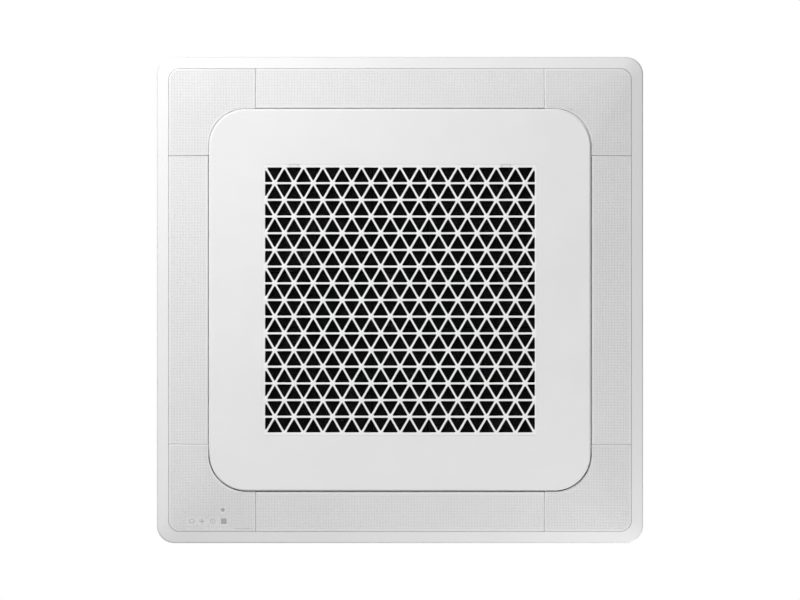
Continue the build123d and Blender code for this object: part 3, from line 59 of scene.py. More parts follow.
# ---- Shader building blocks. Every length is in metres, in the object's own coordinates ----
def new_material(name, colour, roughness, metallic=0.0, **sockets):
    made = bpy.data.materials.new(name)
    made.use_nodes = True
    shader = made.node_tree.nodes["Principled BSDF"]
    shader.inputs["Base Color"].default_value = (*colour, 1.0)
    shader.inputs["Roughness"].default_value = roughness
    shader.inputs["Metallic"].default_value = metallic
    for key, value in sockets.items():
        shader.inputs[key.replace("_", " ")].default_value = value
    return made, made.node_tree, shader


def point(tree, stretch=(1.0, 1.0, 1.0)):
    """The place on the object, stretched along the axes."""
    coords = tree.nodes.new("ShaderNodeTexCoord")
    mapping = tree.nodes.new("ShaderNodeMapping")
    mapping.inputs["Scale"].default_value = stretch
    tree.links.new(coords.outputs["Object"], mapping.inputs["Vector"])
    return mapping.outputs["Vector"]


def noise(tree, size, detail=3.0, rough=0.5, stretch=(1.0, 1.0, 1.0)):
    """0 to 1 noise with features of about that size."""
    made = tree.nodes.new("ShaderNodeTexNoise")
    made.inputs["Scale"].default_value = 1.0 / size
    made.inputs["Detail"].default_value = detail
    made.inputs["Roughness"].default_value = rough
    tree.links.new(point(tree, stretch), made.inputs["Vector"])
    return made.outputs["Fac"]


def cells(tree, size, feature="F1", output="Distance", randomness=1.0):
    made = tree.nodes.new("ShaderNodeTexVoronoi")
    made.feature = feature
    made.inputs["Scale"].default_value = 1.0 / size
    made.inputs["Randomness"].default_value = randomness
    tree.links.new(point(tree), made.inputs["Vector"])
    return made.outputs[output]


def span(tree, value, low, high, from_low=0.0, from_high=1.0):
    made = tree.nodes.new("ShaderNodeMapRange")
    made.inputs["From Min"].default_value = from_low
    made.inputs["From Max"].default_value = from_high
    made.inputs["To Min"].default_value = low
    made.inputs["To Max"].default_value = high
    tree.links.new(value, made.inputs["Value"])
    return made.outputs["Result"]


def sums(tree, operation, a, b=None):
    made = tree.nodes.new("ShaderNodeMath")
    made.operation = operation
    for socket, value in zip(made.inputs, (a, b)):
        if isinstance(value, (int, float)):
            socket.default_value = value
        elif value is not None:
            tree.links.new(value, socket)
    return made.outputs["Value"]


def mix(tree, factor, a, b):
    """Colour a where factor is 0 and b where it is 1."""
    made = tree.nodes.new("ShaderNodeMix")
    made.data_type = "RGBA"
    tree.links.new(factor, made.inputs["Factor"])
    for socket, value in ((made.inputs[6], a), (made.inputs[7], b)):
        if isinstance(value, tuple):
            socket.default_value = (*value, 1.0)
        else:
            tree.links.new(value, socket)
    return made.outputs[2]


def bump(tree, shader, *layers):
    """Layers of (height socket, depth in metres), each 0 to 1 in height."""
    normal = None
    for height, depth in layers:
        made = tree.nodes.new("ShaderNodeBump")
        made.inputs["Strength"].default_value = 1.0
        made.inputs["Distance"].default_value = depth
        tree.links.new(height, made.inputs["Height"])
        if normal:
            tree.links.new(normal, made.inputs["Normal"])
        normal = made.outputs["Normal"]
    tree.links.new(normal, shader.inputs["Normal"])


def shade(colour, factor):
    return tuple(min(1.0, c * factor) for c in colour)


def tint(colour, other, amount):
    return tuple(c + (o - c) * amount for c, o in zip(colour, other))


def colour_of(slot):
    return tuple(slots[slot]["base_color"])


# ---- Materials, one for each slot of the record ----
def steep(tree):
    """0 where the surface faces down, as the panel's face does, and 1 where it turns away to the sides: the
    mask of the painted edge shade.
    """
    coords, facing = tree.nodes.new("ShaderNodeTexCoord"), tree.nodes.new("ShaderNodeSeparateXYZ")
    tree.links.new(coords.outputs["Normal"], facing.inputs["Vector"])
    return span(tree, facing.outputs["Z"], 0.0, 1.0, -0.94, -0.75)


def plastic(slot, roughness=0.4, grain=0.0007, depth=0.000012, mottle=0.015, dust=0.0, tone=1.0, edge=0.0,
            **sockets):
    """Moulded plastic: faint flow mottling, fine grain and uneven gloss, with dust if asked, and with painted
    shade that darkens steep edges if asked.
    """
    colour = shade(colour_of(slot), tone)
    made, tree, shader = new_material(slot, colour, roughness, **sockets)
    base = mix(tree, span(tree, noise(tree, 0.11, 4.0), 0.0, 1.0, 0.3, 0.7), shade(colour, 1 - mottle),
               shade(colour, 1 + mottle))
    if dust:
        specks = span(tree, noise(tree, 0.006, 6.0, 0.7), 0.0, dust, 0.5, 0.8)
        base = mix(tree, specks, base, tint(colour, (0.42, 0.40, 0.37), 0.8))
    # painted shade: faces that turn to the sides are darkened by the edge share, standing in for the shading
    # of rounded edges
    if edge:
        base = mix(tree, steep(tree), base, shade(colour, 1 - edge))
    tree.links.new(base, shader.inputs["Base Color"])
    tree.links.new(
        span(tree, noise(tree, 0.035, 5.0, 0.6), roughness - 0.06, roughness + 0.08, 0.25, 0.75),
        shader.inputs["Roughness"],
    )
    bump(tree, shader, (noise(tree, grain, 2.0), depth), (noise(tree, 0.02, 2.0), 0.00003))
    return made


def galvanised(slot, roughness=0.6, tone=0.6):
    """Hot-dip zinc: crystals a centimetre across, each of its own tone and gloss."""
    colour = shade(colour_of(slot), tone)
    made, tree, shader = new_material(slot, colour, roughness, 1.0)
    crystals = cells(tree, 0.013, output="Color")
    tone = tree.nodes.new("ShaderNodeRGBToBW")
    tree.links.new(crystals, tone.inputs["Color"])
    value = tone.outputs["Val"]
    worn = span(tree, noise(tree, 0.05, 6.0, 0.65), 0.0, 0.6, 0.5, 0.75)
    spangle = mix(tree, value, shade(colour, 0.84), shade(colour, 1.1))
    tree.links.new(mix(tree, worn, spangle, shade(colour, 0.8)), shader.inputs["Base Color"])
    tree.links.new(span(tree, value, roughness - 0.12, roughness + 0.12), shader.inputs["Roughness"])
    bump(tree, shader, (value, 0.00002), (noise(tree, 0.0015, 3.0), 0.00001))
    return made


def brushed(slot, roughness, along, grain=0.0002, stained=0.25):
    """Drawn, turned or rolled metal: fine lines along one axis, with faint handling stains."""
    colour = colour_of(slot)
    stretch = tuple(0.02 if axis in along else 1.0 for axis in "xyz")
    made, tree, shader = new_material(slot, colour, roughness, 1.0)
    lines = noise(tree, grain, 2.0, 0.6, stretch)
    base = mix(tree, lines, shade(colour, 0.9), shade(colour, 1.06))
    stains = span(tree, noise(tree, 0.018, 6.0, 0.65), 0.0, stained, 0.5, 0.8)
    tree.links.new(mix(tree, stains, base, shade(colour, 0.6)), shader.inputs["Base Color"])
    tree.links.new(span(tree, lines, roughness - 0.08, roughness + 0.1), shader.inputs["Roughness"])
    bump(tree, shader, (lines, 0.000008))
    return made


def copper(slot):
    """Drawn copper tube: bright metal under brown tarnish and a few dark heat marks."""
    colour = colour_of(slot)
    made, tree, shader = new_material(slot, colour, 0.3, 1.0)
    tarnish = span(tree, noise(tree, 0.03, 7.0, 0.65), 0.0, 0.85, 0.42, 0.7)
    heat = span(tree, noise(tree, 0.011, 4.0, 0.6), 0.0, 0.7, 0.6, 0.75)
    base = mix(tree, tarnish, colour, (0.36, 0.17, 0.10))
    tree.links.new(mix(tree, heat, base, (0.16, 0.08, 0.06)), shader.inputs["Base Color"])
    tree.links.new(span(tree, tarnish, 0.22, 0.5), shader.inputs["Roughness"])
    bump(tree, shader, (noise(tree, 0.0004, 2.0), 0.000006))
    return made


def fins(slot):
    """The edges of the coil's fins, 1.6 mm apart along the pack, with a few bent ones, and painted shade in
    the gaps between them.
    """
    colour = colour_of(slot)
    made, tree, shader = new_material(slot, colour, 0.35, 1.0)
    coords = tree.nodes.new("ShaderNodeTexCoord")
    place, facing = tree.nodes.new("ShaderNodeSeparateXYZ"), tree.nodes.new("ShaderNodeSeparateXYZ")
    tree.links.new(coords.outputs["Object"], place.inputs["Vector"])
    tree.links.new(coords.outputs["Normal"], facing.inputs["Vector"])
    across = sums(tree, "ABSOLUTE", facing.outputs["Y"])
    flag = sums(tree, "GREATER_THAN", across, 0.7071)
    along_x = sums(tree, "MULTIPLY", place.outputs["X"], flag)
    along_y = sums(tree, "MULTIPLY", place.outputs["Y"], sums(tree, "SUBTRACT", 1.0, flag))
    run = sums(tree, "ADD", along_x, along_y)
    bent = span(tree, noise(tree, 0.02, 4.0, 0.7), -0.0007, 0.0007, 0.3, 0.7)
    wave = sums(tree, "PINGPONG", sums(tree, "ADD", run, bent), 0.0008)
    edge = span(tree, wave, 0.0, 1.0, 0.0001, 0.0005)
    dust = span(tree, noise(tree, 0.03, 5.0), 0.0, 0.5, 0.45, 0.75)
    # painted shade: the gaps between the fins are darkened to 12 % of the metal's colour
    base = mix(tree, edge, colour, shade(colour, 0.12))
    tree.links.new(mix(tree, dust, base, (0.45, 0.43, 0.40)), shader.inputs["Base Color"])
    tree.links.new(span(tree, edge, 0.3, 0.6), shader.inputs["Roughness"])
    bump(tree, shader, (sums(tree, "SUBTRACT", 1.0, edge), 0.0006))
    return made


def foam(slot, bead, depth, roughness=0.9, dark=0.8):
    """Foam: beads or pores with darker joints, and soft stains."""
    colour = colour_of(slot)
    made, tree, shader = new_material(slot, colour, roughness)
    joints = span(tree, cells(tree, bead), 0.0, 1.0, 0.25, 0.75)
    base = mix(tree, joints, shade(colour, 1.04), shade(colour, dark))
    stains = span(tree, noise(tree, 0.06, 5.0, 0.6), 0.0, 0.35, 0.5, 0.8)
    tree.links.new(mix(tree, stains, base, shade(colour, 0.72)), shader.inputs["Base Color"])
    tree.links.new(span(tree, joints, roughness - 0.08, roughness + 0.06), shader.inputs["Roughness"])
    bump(tree, shader, (sums(tree, "SUBTRACT", 1.0, joints), depth))
    return made


def rubber(slot, roughness=0.65):
    """Rubber with a soft bloom and fine grain."""
    colour = colour_of(slot)
    made, tree, shader = new_material(slot, colour, roughness)
    bloom = span(tree, noise(tree, 0.008, 5.0, 0.6), 0.0, 0.5, 0.4, 0.75)
    tree.links.new(mix(tree, bloom, colour, tint(colour, (0.25, 0.25, 0.25), 0.4)),
                   shader.inputs["Base Color"])
    tree.links.new(span(tree, bloom, roughness - 0.05, roughness + 0.15), shader.inputs["Roughness"])
    bump(tree, shader, (noise(tree, 0.0006, 3.0), 0.00003))
    return made


def painted(slot, roughness=0.35):
    """Baked paint with orange peel and a few chips down to grey primer."""
    colour = colour_of(slot)
    made, tree, shader = new_material(slot, colour, roughness, Coat_Weight=0.3, Coat_Roughness=0.25)
    chips = span(tree, noise(tree, 0.012, 7.0, 0.75), 0.0, 1.0, 0.69, 0.71)
    tone = mix(tree, noise(tree, 0.05, 4.0), shade(colour, 0.9), shade(colour, 1.1))
    tree.links.new(mix(tree, chips, tone, (0.42, 0.43, 0.44)), shader.inputs["Base Color"])
    tree.links.new(span(tree, chips, roughness, 0.6), shader.inputs["Roughness"])
    bump(tree, shader, (noise(tree, 0.0022, 2.0), 0.00004), (sums(tree, "SUBTRACT", 1.0, chips), 0.00004))
    return made


def circuit(slot):
    """Green board: tracks as slightly raised lighter lines, with tinned dots."""
    colour = colour_of(slot)
    made, tree, shader = new_material(slot, colour, 0.3, Coat_Weight=0.5, Coat_Roughness=0.15)
    tracks = tree.nodes.new("ShaderNodeTexBrick")
    tracks.inputs["Scale"].default_value = 1.0 / 0.012
    tracks.inputs["Mortar Size"].default_value = 0.05
    tracks.inputs["Mortar Smooth"].default_value = 0.1
    tree.links.new(point(tree), tracks.inputs["Vector"])
    line = tracks.outputs["Fac"]
    pads = span(tree, cells(tree, 0.0035, randomness=0.3), 1.0, 0.0, 0.16, 0.2)
    base = mix(tree, line, colour, tint(colour, (0.30, 0.55, 0.32), 0.6))
    tree.links.new(mix(tree, pads, base, (0.6, 0.6, 0.58)), shader.inputs["Base Color"])
    tree.links.new(span(tree, pads, 0.3, 0.2), shader.inputs["Roughness"])
    bump(tree, shader, (line, 0.00004), (pads, 0.0001))
    return made


def strands(slot):
    """Fine net: each strand has its own slight tone and a dull gloss."""
    colour = colour_of(slot)
    made, tree, shader = new_material(slot, colour, 0.7, Specular_IOR_Level=0.02)
    lint = span(tree, noise(tree, 0.02, 6.0, 0.65), 0.0, 0.8, 0.55, 0.8)
    tree.links.new(mix(tree, lint, shade(colour, 0.6), (0.03, 0.029, 0.027)), shader.inputs["Base Color"])
    tree.links.new(span(tree, lint, 0.6, 0.85), shader.inputs["Roughness"])
    bump(tree, shader, (noise(tree, 0.0003, 2.0), 0.00003))
    return made


white = dict(IOR=1.46)
made_for = {
    "cabinet_steel": galvanised("cabinet_steel"),
    "bracket_steel": galvanised("bracket_steel", 0.64),
    "liner_foam": foam("liner_foam", 0.0016, 0.0003, 0.92, 0.7),
    "motor_paint": painted("motor_paint"),
    "shaft_steel": brushed("shaft_steel", 0.25, "z"),
    "rubber_black": rubber("rubber_black"),
    "screw_zinc": brushed("screw_zinc", 0.3, "", 0.0008, 0.3),
    "fan_plastic": plastic("fan_plastic", 0.45, 0.0009, 0.00003, 0.1, dust=0.25),
    "mouth_plastic": plastic("mouth_plastic", 0.42, 0.0008, 0.00002, 0.03, dust=0.12),
    "coil_aluminium": fins("coil_aluminium"),
    "coil_copper": copper("coil_copper"),
    "sheet_steel": galvanised("sheet_steel", 0.62),
    "flare_brass": brushed("flare_brass", 0.28, "x", 0.0003, 0.4),
    "pan_foam": foam("pan_foam", 0.0034, 0.0004, 0.85, 0.9),
    "pump_plastic": plastic("pump_plastic", 0.42, mottle=0.04),
    "float_plastic": plastic("float_plastic", 0.5, mottle=0.04),
    "hose_rubber": rubber("hose_rubber", 0.55),
    "port_plastic": plastic("port_plastic", 0.42, mottle=0.04),
    "box_steel": galvanised("box_steel", 0.58),
    "board_green": circuit("board_green"),
    "terminal_plastic": plastic("terminal_plastic", 0.4, mottle=0.05),
    # the panel's steep edges carry painted shade, 16 % darker
    "panel_white": plastic("panel_white", 0.42, tone=1.02, edge=0.16, **white),
    "cover_white": plastic("cover_white", 0.42, tone=0.96, **white),
    "blade_white": plastic("blade_white", 0.42, tone=0.98, **white),
    "plate_white": plastic("plate_white", 0.4, **white),
    "lattice_white": plastic("lattice_white", 0.36, depth=0.000006, tone=1.05, **white),
    "latch_white": plastic("latch_white", 0.36, **white),
    "gasket_foam": foam("gasket_foam", 0.0009, 0.0002, 0.95, 0.75),
    "motor_plastic": plastic("motor_plastic", 0.42, mottle=0.04),
    "bush_plastic": plastic("bush_plastic", 0.4, mottle=0.04),
    "lens_grey": plastic("lens_grey", 0.25, depth=0.000003, mottle=0.02, tone=0.62, Coat_Weight=0.5),
    "filter_black": plastic(
        "filter_black", 0.55, 0.0008, 0.00003, 0.12, dust=0.1, Specular_IOR_Level=0.15
    ),
    "net_black": strands("net_black"),
    "pin_steel": brushed("pin_steel", 0.25, "x"),
}
for name, obj in nodes.items():
    for holder in obj.material_slots:
        holder.material = made_for[slot_of[name]]

# The pits of the perforation: painted shade, a dull dark grey that stands for the darkness deep inside the
# holes
hole_painted_shade, hole_tree, hole_shader = new_material("perforation_painted_shade", (0.42, 0.42, 0.42), 0.8)
hole_tree.links.new(
    mix(hole_tree, noise(hole_tree, 0.01, 3.0), (0.38, 0.38, 0.38), (0.46, 0.46, 0.46)),
    hole_shader.inputs["Base Color"],
)
bump(hole_tree, hole_shader, (noise(hole_tree, 0.0005, 2.0), 0.00003))


# ---- Mesh helpers ----
def new_object(name, mesh, *materials):
    obj = bpy.data.objects.new(name, mesh)
    bpy.context.scene.collection.objects.link(obj)
    for entry in materials:
        mesh.materials.append(entry)
    return obj


def smooth_by_angle(mesh, degrees):
    mesh.polygons.foreach_set("use_smooth", [True] * len(mesh.polygons))
    mesh.set_sharp_from_angle(angle=math.radians(degrees))


def finished(bm, name, body, slot, *materials, angle=30):
    """The bmesh, in millimetres, as a piece that rides on that body."""
    bmesh.ops.recalc_face_normals(bm, faces=bm.faces)
    bmesh.ops.scale(bm, vec=(MM, MM, MM), verts=bm.verts)
    mesh = bpy.data.meshes.new(name)
    bm.to_mesh(mesh)
    bm.free()
    smooth_by_angle(mesh, angle)
    obj = new_object(name, mesh, *(materials or (made_for[slot],)))
    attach(obj, body)
    return obj


def welded_copy(node):
    """A bmesh of that CAD node in millimetres, with its split vertices joined."""
    bm = bmesh.new()
    bm.from_mesh(nodes[node].data)
    bmesh.ops.scale(bm, vec=(1000, 1000, 1000), verts=bm.verts)
    bmesh.ops.remove_doubles(bm, verts=bm.verts, dist=0.001)
    return bm


def visible_skin(bm):
    """The faces of the underside that run on smoothly from the largest downward one."""
    start = max((f for f in bm.faces if f.normal.z < -0.9), key=lambda f: f.calc_area())
    found, edge = {start}, [start]
    while edge:
        face = edge.pop()
        for side in face.edges:
            for other in side.link_faces:
                if other not in found and other.normal.z < -0.9 and other.normal.angle(face.normal) < 0.14:
                    found.add(other)
                    edge.append(other)
    return found


def perforate(node, name, pitch=3.0, radius=0.5, margin=1.3, depth=1.1):
    """A copy of a CAD node whose visible skin has rows of fine blind holes."""
    bm = welded_copy(node)
    bmesh.ops.dissolve_limit(bm, angle_limit=0.006, verts=bm.verts, edges=bm.edges)
    skin = visible_skin(bm)
    outline = [e for e in bm.edges if sum(f in skin for f in e.link_faces) == 1]
    sharp = [e for e in outline if e.calc_face_angle(0.0) > 0.6]
    bmesh.ops.bevel(bm, geom=sharp, offset=0.5, segments=2, affect="EDGES", profile=0.5)
    bm.normal_update()
    skin = visible_skin(bm)
    tree_points, tree_faces = [], []
    for face in (f for f in bm.faces if f in skin):
        tree_faces.append(list(range(len(tree_points), len(tree_points) + len(face.verts))))
        tree_points += [v.co.copy() for v in face.verts]
    tree = BVHTree.FromPolygons(tree_points, tree_faces)
    low = min(v.z for v in tree_points) - 10.0

    def height(x, y):
        hit = tree.ray_cast(Vector((x, y, low)), Vector((0, 0, 1)))[0]
        return None if hit is None else hit.z

    outline = [e for e in bm.edges if sum(f in skin for f in e.link_faces) == 1]
    skin = [f for f in bm.faces if f in skin]
    bmesh.ops.delete(bm, geom=skin, context="FACES_KEEP_BOUNDARY")
    for e in outline:
        cuts = int(e.calc_length() // 5.0)
        if cuts:
            bmesh.ops.subdivide_edges(bm, edges=[e], cuts=cuts)
    rim = [e for e in bm.edges if e.is_boundary]

    xs = [p.x for p in tree_points]
    ys = [p.y for p in tree_points]
    first_x, last_x = math.floor(min(xs) / pitch), math.ceil(max(xs) / pitch)
    first_y, last_y = math.floor(min(ys) / pitch), math.ceil(max(ys) / pitch)
    level = {}
    for i in range(first_x, last_x + 1):
        for j in range(first_y, last_y + 1):
            x, y = i * pitch, j * pitch
            around = [height(x + a * margin, y + b * margin) for a in (-1, 0, 1) for b in (-1, 0, 1)]
            if None not in around:
                level[i, j] = around[4]
    corners = [(0, 0), (1, 0), (1, 1), (0, 1)]
    squares = {(i, j) for i, j in level if all((i + a, j + b) in level for a, b in corners)}
    while True:
        lone = set()
        for i, j in squares:
            for a in (-1, 1):
                for b in (-1, 1):
                    if (i + a, j + b) in squares and (i + a, j) not in squares and (i, j + b) not in squares:
                        lone.add((i, j))
        if not lone:
            break
        squares -= lone

    grid = {}

    def grid_vert(i, j):
        if (i, j) not in grid:
            grid[i, j] = bm.verts.new((i * pitch, j * pitch, level[i, j]))
        return grid[i, j]

    pits = []
    for i, j in sorted(squares):
        ring = [grid_vert(i + a, j + b) for a, b in corners]
        heights = [v.co.z for v in ring]

        def inside(u, v, lift):
            z = (heights[0] * (1 - u) * (1 - v) + heights[1] * u * (1 - v) + heights[2] * u * v
                 + heights[3] * (1 - u) * v)
            return bm.verts.new(((i + u) * pitch, (j + v) * pitch, z + lift))

        mouth = []
        for k in range(8):
            angle = math.radians(-157.5 + 45 * k)
            u, v = (0.5 + radius / pitch * turn(angle) for turn in (math.cos, math.sin))
            mouth.append(inside(u, v, 0.0))
        # mouth points 0 and 1 face the square's first corner, and so on round
        for k in range(4):
            a, b = mouth[2 * k], mouth[2 * k + 1]
            c = mouth[(2 * k + 2) % 8]
            here, after = ring[k], ring[(k + 1) % 4]
            bm.faces.new((here, a, b))
            bm.faces.new((here, b, c, after))
        tip = inside(0.5, 0.5, depth)
        pits += [bm.faces.new((mouth[k], tip, mouth[(k + 1) % 8])) for k in range(8)]
    steps = [e for e in bm.edges if e.is_boundary and e not in rim]
    bmesh.ops.triangle_fill(bm, use_beauty=True, edges=rim + steps, normal=(0, 0, -1))
    # the pits take material 1, the painted shade of the holes' depth
    for face in pits:
        face.material_index = 1
    print(name, "holes", len(squares), "open edges", sum(not e.is_manifold for e in bm.edges))
    body = next(body for body, held in record["behaviour"]["bodies"].items() if node in held)
    slot = slot_of[node]
    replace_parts(finished(bm, name, body, slot, made_for[slot], hole_painted_shade, angle=28), node)


for side in ("front", "right", "rear", "left"):
    perforate(f"blade_{side}", f"{side}_blade_perforated")
for corner in ("front_left", "front_right", "rear_right", "rear_left"):
    perforate(f"corner_cover_{corner}", f"{corner}_cover_perforated")


# ---- Flange behind the centre plate's edge, and steps beside the blades' ends, in millimetres ----
BASE = CEILING * 1000
PLATE_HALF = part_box("intake_grille")[1][0] * 1000
PLATE_CORNER = 70.0  # radius
QUARTERS = ((1, 1), (-1, 1), (-1, -1), (1, -1))
REAR_TAPER = 20.0  # the flange is narrower from here on, so that the plate's rear can swing up


def plate_outline(front, rear, steps=16):
    """Points of the plate's rounded square, counterclockwise, moved out by front, and by rear at its rear."""
    centre = PLATE_HALF - PLATE_CORNER
    points = [(PLATE_HALF + front, centre - REAR_TAPER)]
    for quarter, (sx, sy) in enumerate(QUARTERS):
        radius = PLATE_CORNER + (rear if sy > 0 else front)
        for k in range(steps + 1):
            angle = math.pi / 2 * (quarter + k / steps)
            points.append((sx * centre + radius * math.cos(angle), sy * centre + radius * math.sin(angle)))
        if (sx, sy) == (-1, 1):
            points.append((-PLATE_HALF - front, centre - REAR_TAPER))
    return points


bm = bmesh.new()
# The flange's section: reach past the plate's edge at the front and sides, reach at the rear, height
FLANGE = [(-2.0, -2.0, -28.2), (2.0, 0.85, -28.2), (2.35, 1.2, -27.9), (2.35, 1.2, -26.9), (2.0, 0.85, -26.6),
          (-2.0, -2.0, -26.6)]
loops = [[bm.verts.new((x, y, BASE + z)) for x, y in plate_outline(front, rear)] for front, rear, z in FLANGE]
for k, loop in enumerate(loops):
    for i in range(len(loop)):
        bm.faces.new((loops[k - 1][i - 1], loops[k - 1][i], loop[i], loop[i - 1]))
finished(bm, "plate_flange", "grille", "plate_white")

# A step on each cover narrows the seam to the blade's end from behind the face
COVER_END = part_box("corner_cover_front_right")[0][0] * 1000  # where a cover begins, past the blade's end
RING_INNER, RING_OUTER = 373.0, 451.5  # the blades' and covers' edges, from the fan's axis
RING_LOW, RING_RISE, RING_SPAN = 27.0, 12.0, 79.0  # their face's drop below the ceiling, and its slope
STEP_MARGIN = 0.8
STEP_SECTION = ((0.3, 1.0), (-0.75, 1.0), (-0.75, 2.2), (0.3, 2.2))  # past the cover's edge, above its face
CORNERS = {"front_left": (-1, -1), "front_right": (1, -1), "rear_right": (1, 1), "rear_left": (-1, 1)}


def ring_height(radius):
    return BASE - RING_LOW + (radius - RING_INNER) * RING_RISE / RING_SPAN


for name, (sx, sy) in CORNERS.items():
    bm = bmesh.new()
    for along_y in (True, False):
        ends = []
        for radius in (RING_INNER + STEP_MARGIN, RING_OUTER - STEP_MARGIN):
            corners = []
            for side, lift in STEP_SECTION:
                across = COVER_END + side
                x, y = (across, radius) if along_y else (radius, across)
                corners.append(bm.verts.new((sx * x, sy * y, ring_height(radius) + lift)))
            ends.append(corners)
        bm.faces.new(ends[0])
        bm.faces.new(ends[1])
        for k in range(4):
            bm.faces.new((ends[0][k - 1], ends[0][k], ends[1][k], ends[1][k - 1]))
    finished(bm, f"{name}_cover_steps", f"{name}_cover", "cover_white")


# ---- Indicator lenses: flush windows with fine printed signs ----
sign_print, print_tree, print_shader = new_material("sign_print", (0.45, 0.45, 0.46), 0.45)
print_tree.links.new(
    mix(print_tree, noise(print_tree, 0.002, 3.0), (0.42, 0.42, 0.43), (0.48, 0.48, 0.49)),
    print_shader.inputs["Base Color"],
)
bump(print_tree, print_shader, (noise(print_tree, 0.0004, 2.0), 0.000004))
ICON_Y = 431.5
TIMER_X, FAN_X, CLOCK_X = -406.1, -386.4, -365.1
CLEAR_TO = -352.0  # windows left of this have the cover's colour, the other two are grey
PRINT_TOP, PRINT = 0.02, 0.04  # how far a print goes into its window, and how thick it stands


def circle(radius, steps=24, centre=(0.0, 0.0), squash=1.0, turn=0.0):
    points = []
    for k in range(steps):
        u = radius * math.cos(2 * math.pi * k / steps)
        v = radius * squash * math.sin(2 * math.pi * k / steps)
        points.append((centre[0] + u * math.cos(turn) - v * math.sin(turn),
                       centre[1] + u * math.sin(turn) + v * math.cos(turn)))
    return points


def capsule(half_length, radius, steps=10):
    points = []
    for end in (1, -1):
        for k in range(steps + 1):
            angle = math.pi * (k / steps - 0.5)
            along = half_length - radius + radius * math.cos(angle)
            points.append((end * along, end * radius * math.sin(angle)))
    return points


def bar_shape(start, end, wide):
    (ax, ay), (bx, by) = start, end
    length = math.hypot(bx - ax, by - ay)
    nx, ny = (ay - by) / length * wide / 2, (bx - ax) / length * wide / 2
    return [(ax + nx, ay + ny), (ax - nx, ay - ny), (bx - nx, by - ny), (bx + nx, by + ny)]


bm = welded_copy("indicator_lenses")
window_tree = BVHTree.FromBMesh(bm)
for face in bm.faces:
    face.material_index = 0 if face.calc_center_median().x > CLEAR_TO else 1


def printed(place, outer, inner=None):
    """A thin raised print on the window: the shape outer, less the shape inner."""
    layers = []
    for drop in (PRINT_TOP, -PRINT):
        for shape in (outer, inner):
            if shape:
                layer = []
                for x, y in shape:
                    start = Vector((place + x, ICON_Y + y, BASE - 60.0))
                    hit = window_tree.ray_cast(start, Vector((0, 0, 1)))[0]
                    layer.append(bm.verts.new((place + x, ICON_Y + y, hit.z + drop)))
                layers.append(layer)
    made = []
    if inner:
        pairs = ((0, 1), (2, 3), (0, 2), (1, 3))
        for a, b in pairs:
            for k in range(len(outer)):
                made.append(bm.faces.new((layers[a][k - 1], layers[a][k], layers[b][k], layers[b][k - 1])))
    else:
        made += [bm.faces.new(layers[0]), bm.faces.new(layers[1][::-1])]
        for k in range(len(outer)):
            made.append(bm.faces.new((layers[0][k - 1], layers[0][k], layers[1][k], layers[1][k - 1])))
    for face in made:
        face.material_index = 2


printed(TIMER_X, capsule(5.7, 3.6), capsule(4.7, 2.6))
printed(FAN_X, circle(2.0))
for quarter in range(4):
    turn = math.pi / 2 * quarter
    middle = (3.6 * math.cos(turn), 3.6 * math.sin(turn))
    printed(FAN_X, circle(1.5, 16, middle, 0.6, turn + 0.35))
printed(CLOCK_X, circle(5.1, 32), circle(4.2, 32))
printed(CLOCK_X, bar_shape((0.0, 0.4), (0.0, -3.2), 0.9))
printed(CLOCK_X, bar_shape((-0.4, 0.0), (2.6, 0.0), 0.9))
windows = finished(bm, "indicator_windows", "rear_left_cover", "lens_grey", made_for["lens_grey"],
                   made_for["cover_white"], sign_print)
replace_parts(windows, "indicator_lenses")


# ---- Triangle lattice: bars with a crowned underside, in millimetres ----
SIDE = 37.5
TALL = SIDE * math.sqrt(3) / 2
OPEN_X, OPEN_Y = 262.5, 8 * TALL
BAR_HALF = 2.0
CREST_CORNER, FOOT_CORNER = 0.6, 1.4  # radii of a hole's corners, near the bars' crests and beyond
EDGE_X, EDGE_Y = OPEN_X + BAR_HALF, OPEN_Y + BAR_HALF
LATTICE_LOW, LATTICE_HIGH = -31.6, -26.0
LATCH_X = 5.5 * SIDE


def clip(shape, nx, ny, reach):
    """The part of a convex shape where nx x + ny y <= reach."""
    kept = []
    for k, (x, y) in enumerate(shape):
        px, py = shape[k - 1]
        here, before = nx * x + ny * y - reach, nx * px + ny * py - reach
        if (here > 0) != (before > 0):
            t = before / (before - here)
            kept.append((px + (x - px) * t, py + (y - py) * t))
        if here <= 0:
            kept.append((x, y))
    tidy = []
    for p in kept:
        if all(math.hypot(p[0] - q[0], p[1] - q[1]) > 1e-4 for q in tidy):
            tidy.append(p)
    return tidy


def inset(shape, distance):
    """A convex counterclockwise shape moved in by distance on every side."""
    smaller = shape
    for k, (x, y) in enumerate(shape):
        px, py = shape[k - 1]
        length = math.hypot(x - px, y - py)
        nx, ny = (y - py) / length, -(x - px) / length
        smaller = clip(smaller, nx, ny, nx * x + ny * y - distance)
        if len(smaller) < 3:
            return []
    return smaller


def rounded(shape, radius):
    """The shape with each corner cut to three points near an arc of that radius."""
    points = []
    for k, corner in enumerate(shape):
        here = Vector(corner)
        before, after = Vector(shape[k - 1]) - here, Vector(shape[(k + 1) % len(shape)]) - here
        half = before.angle(after) / 2
        reach = min(radius / math.tan(half), 0.45 * before.length, 0.45 * after.length)
        a, b = here + before.normalized() * reach, here + after.normalized() * reach
        middle = (a + b) / 2
        arc = reach * math.tan(half)
        centre_gap = reach / math.cos(half)
        to_corner = (here - middle).normalized()
        crown = here - to_corner * (centre_gap - arc)
        points += [tuple(a), tuple(crown), tuple(b)]
    return points


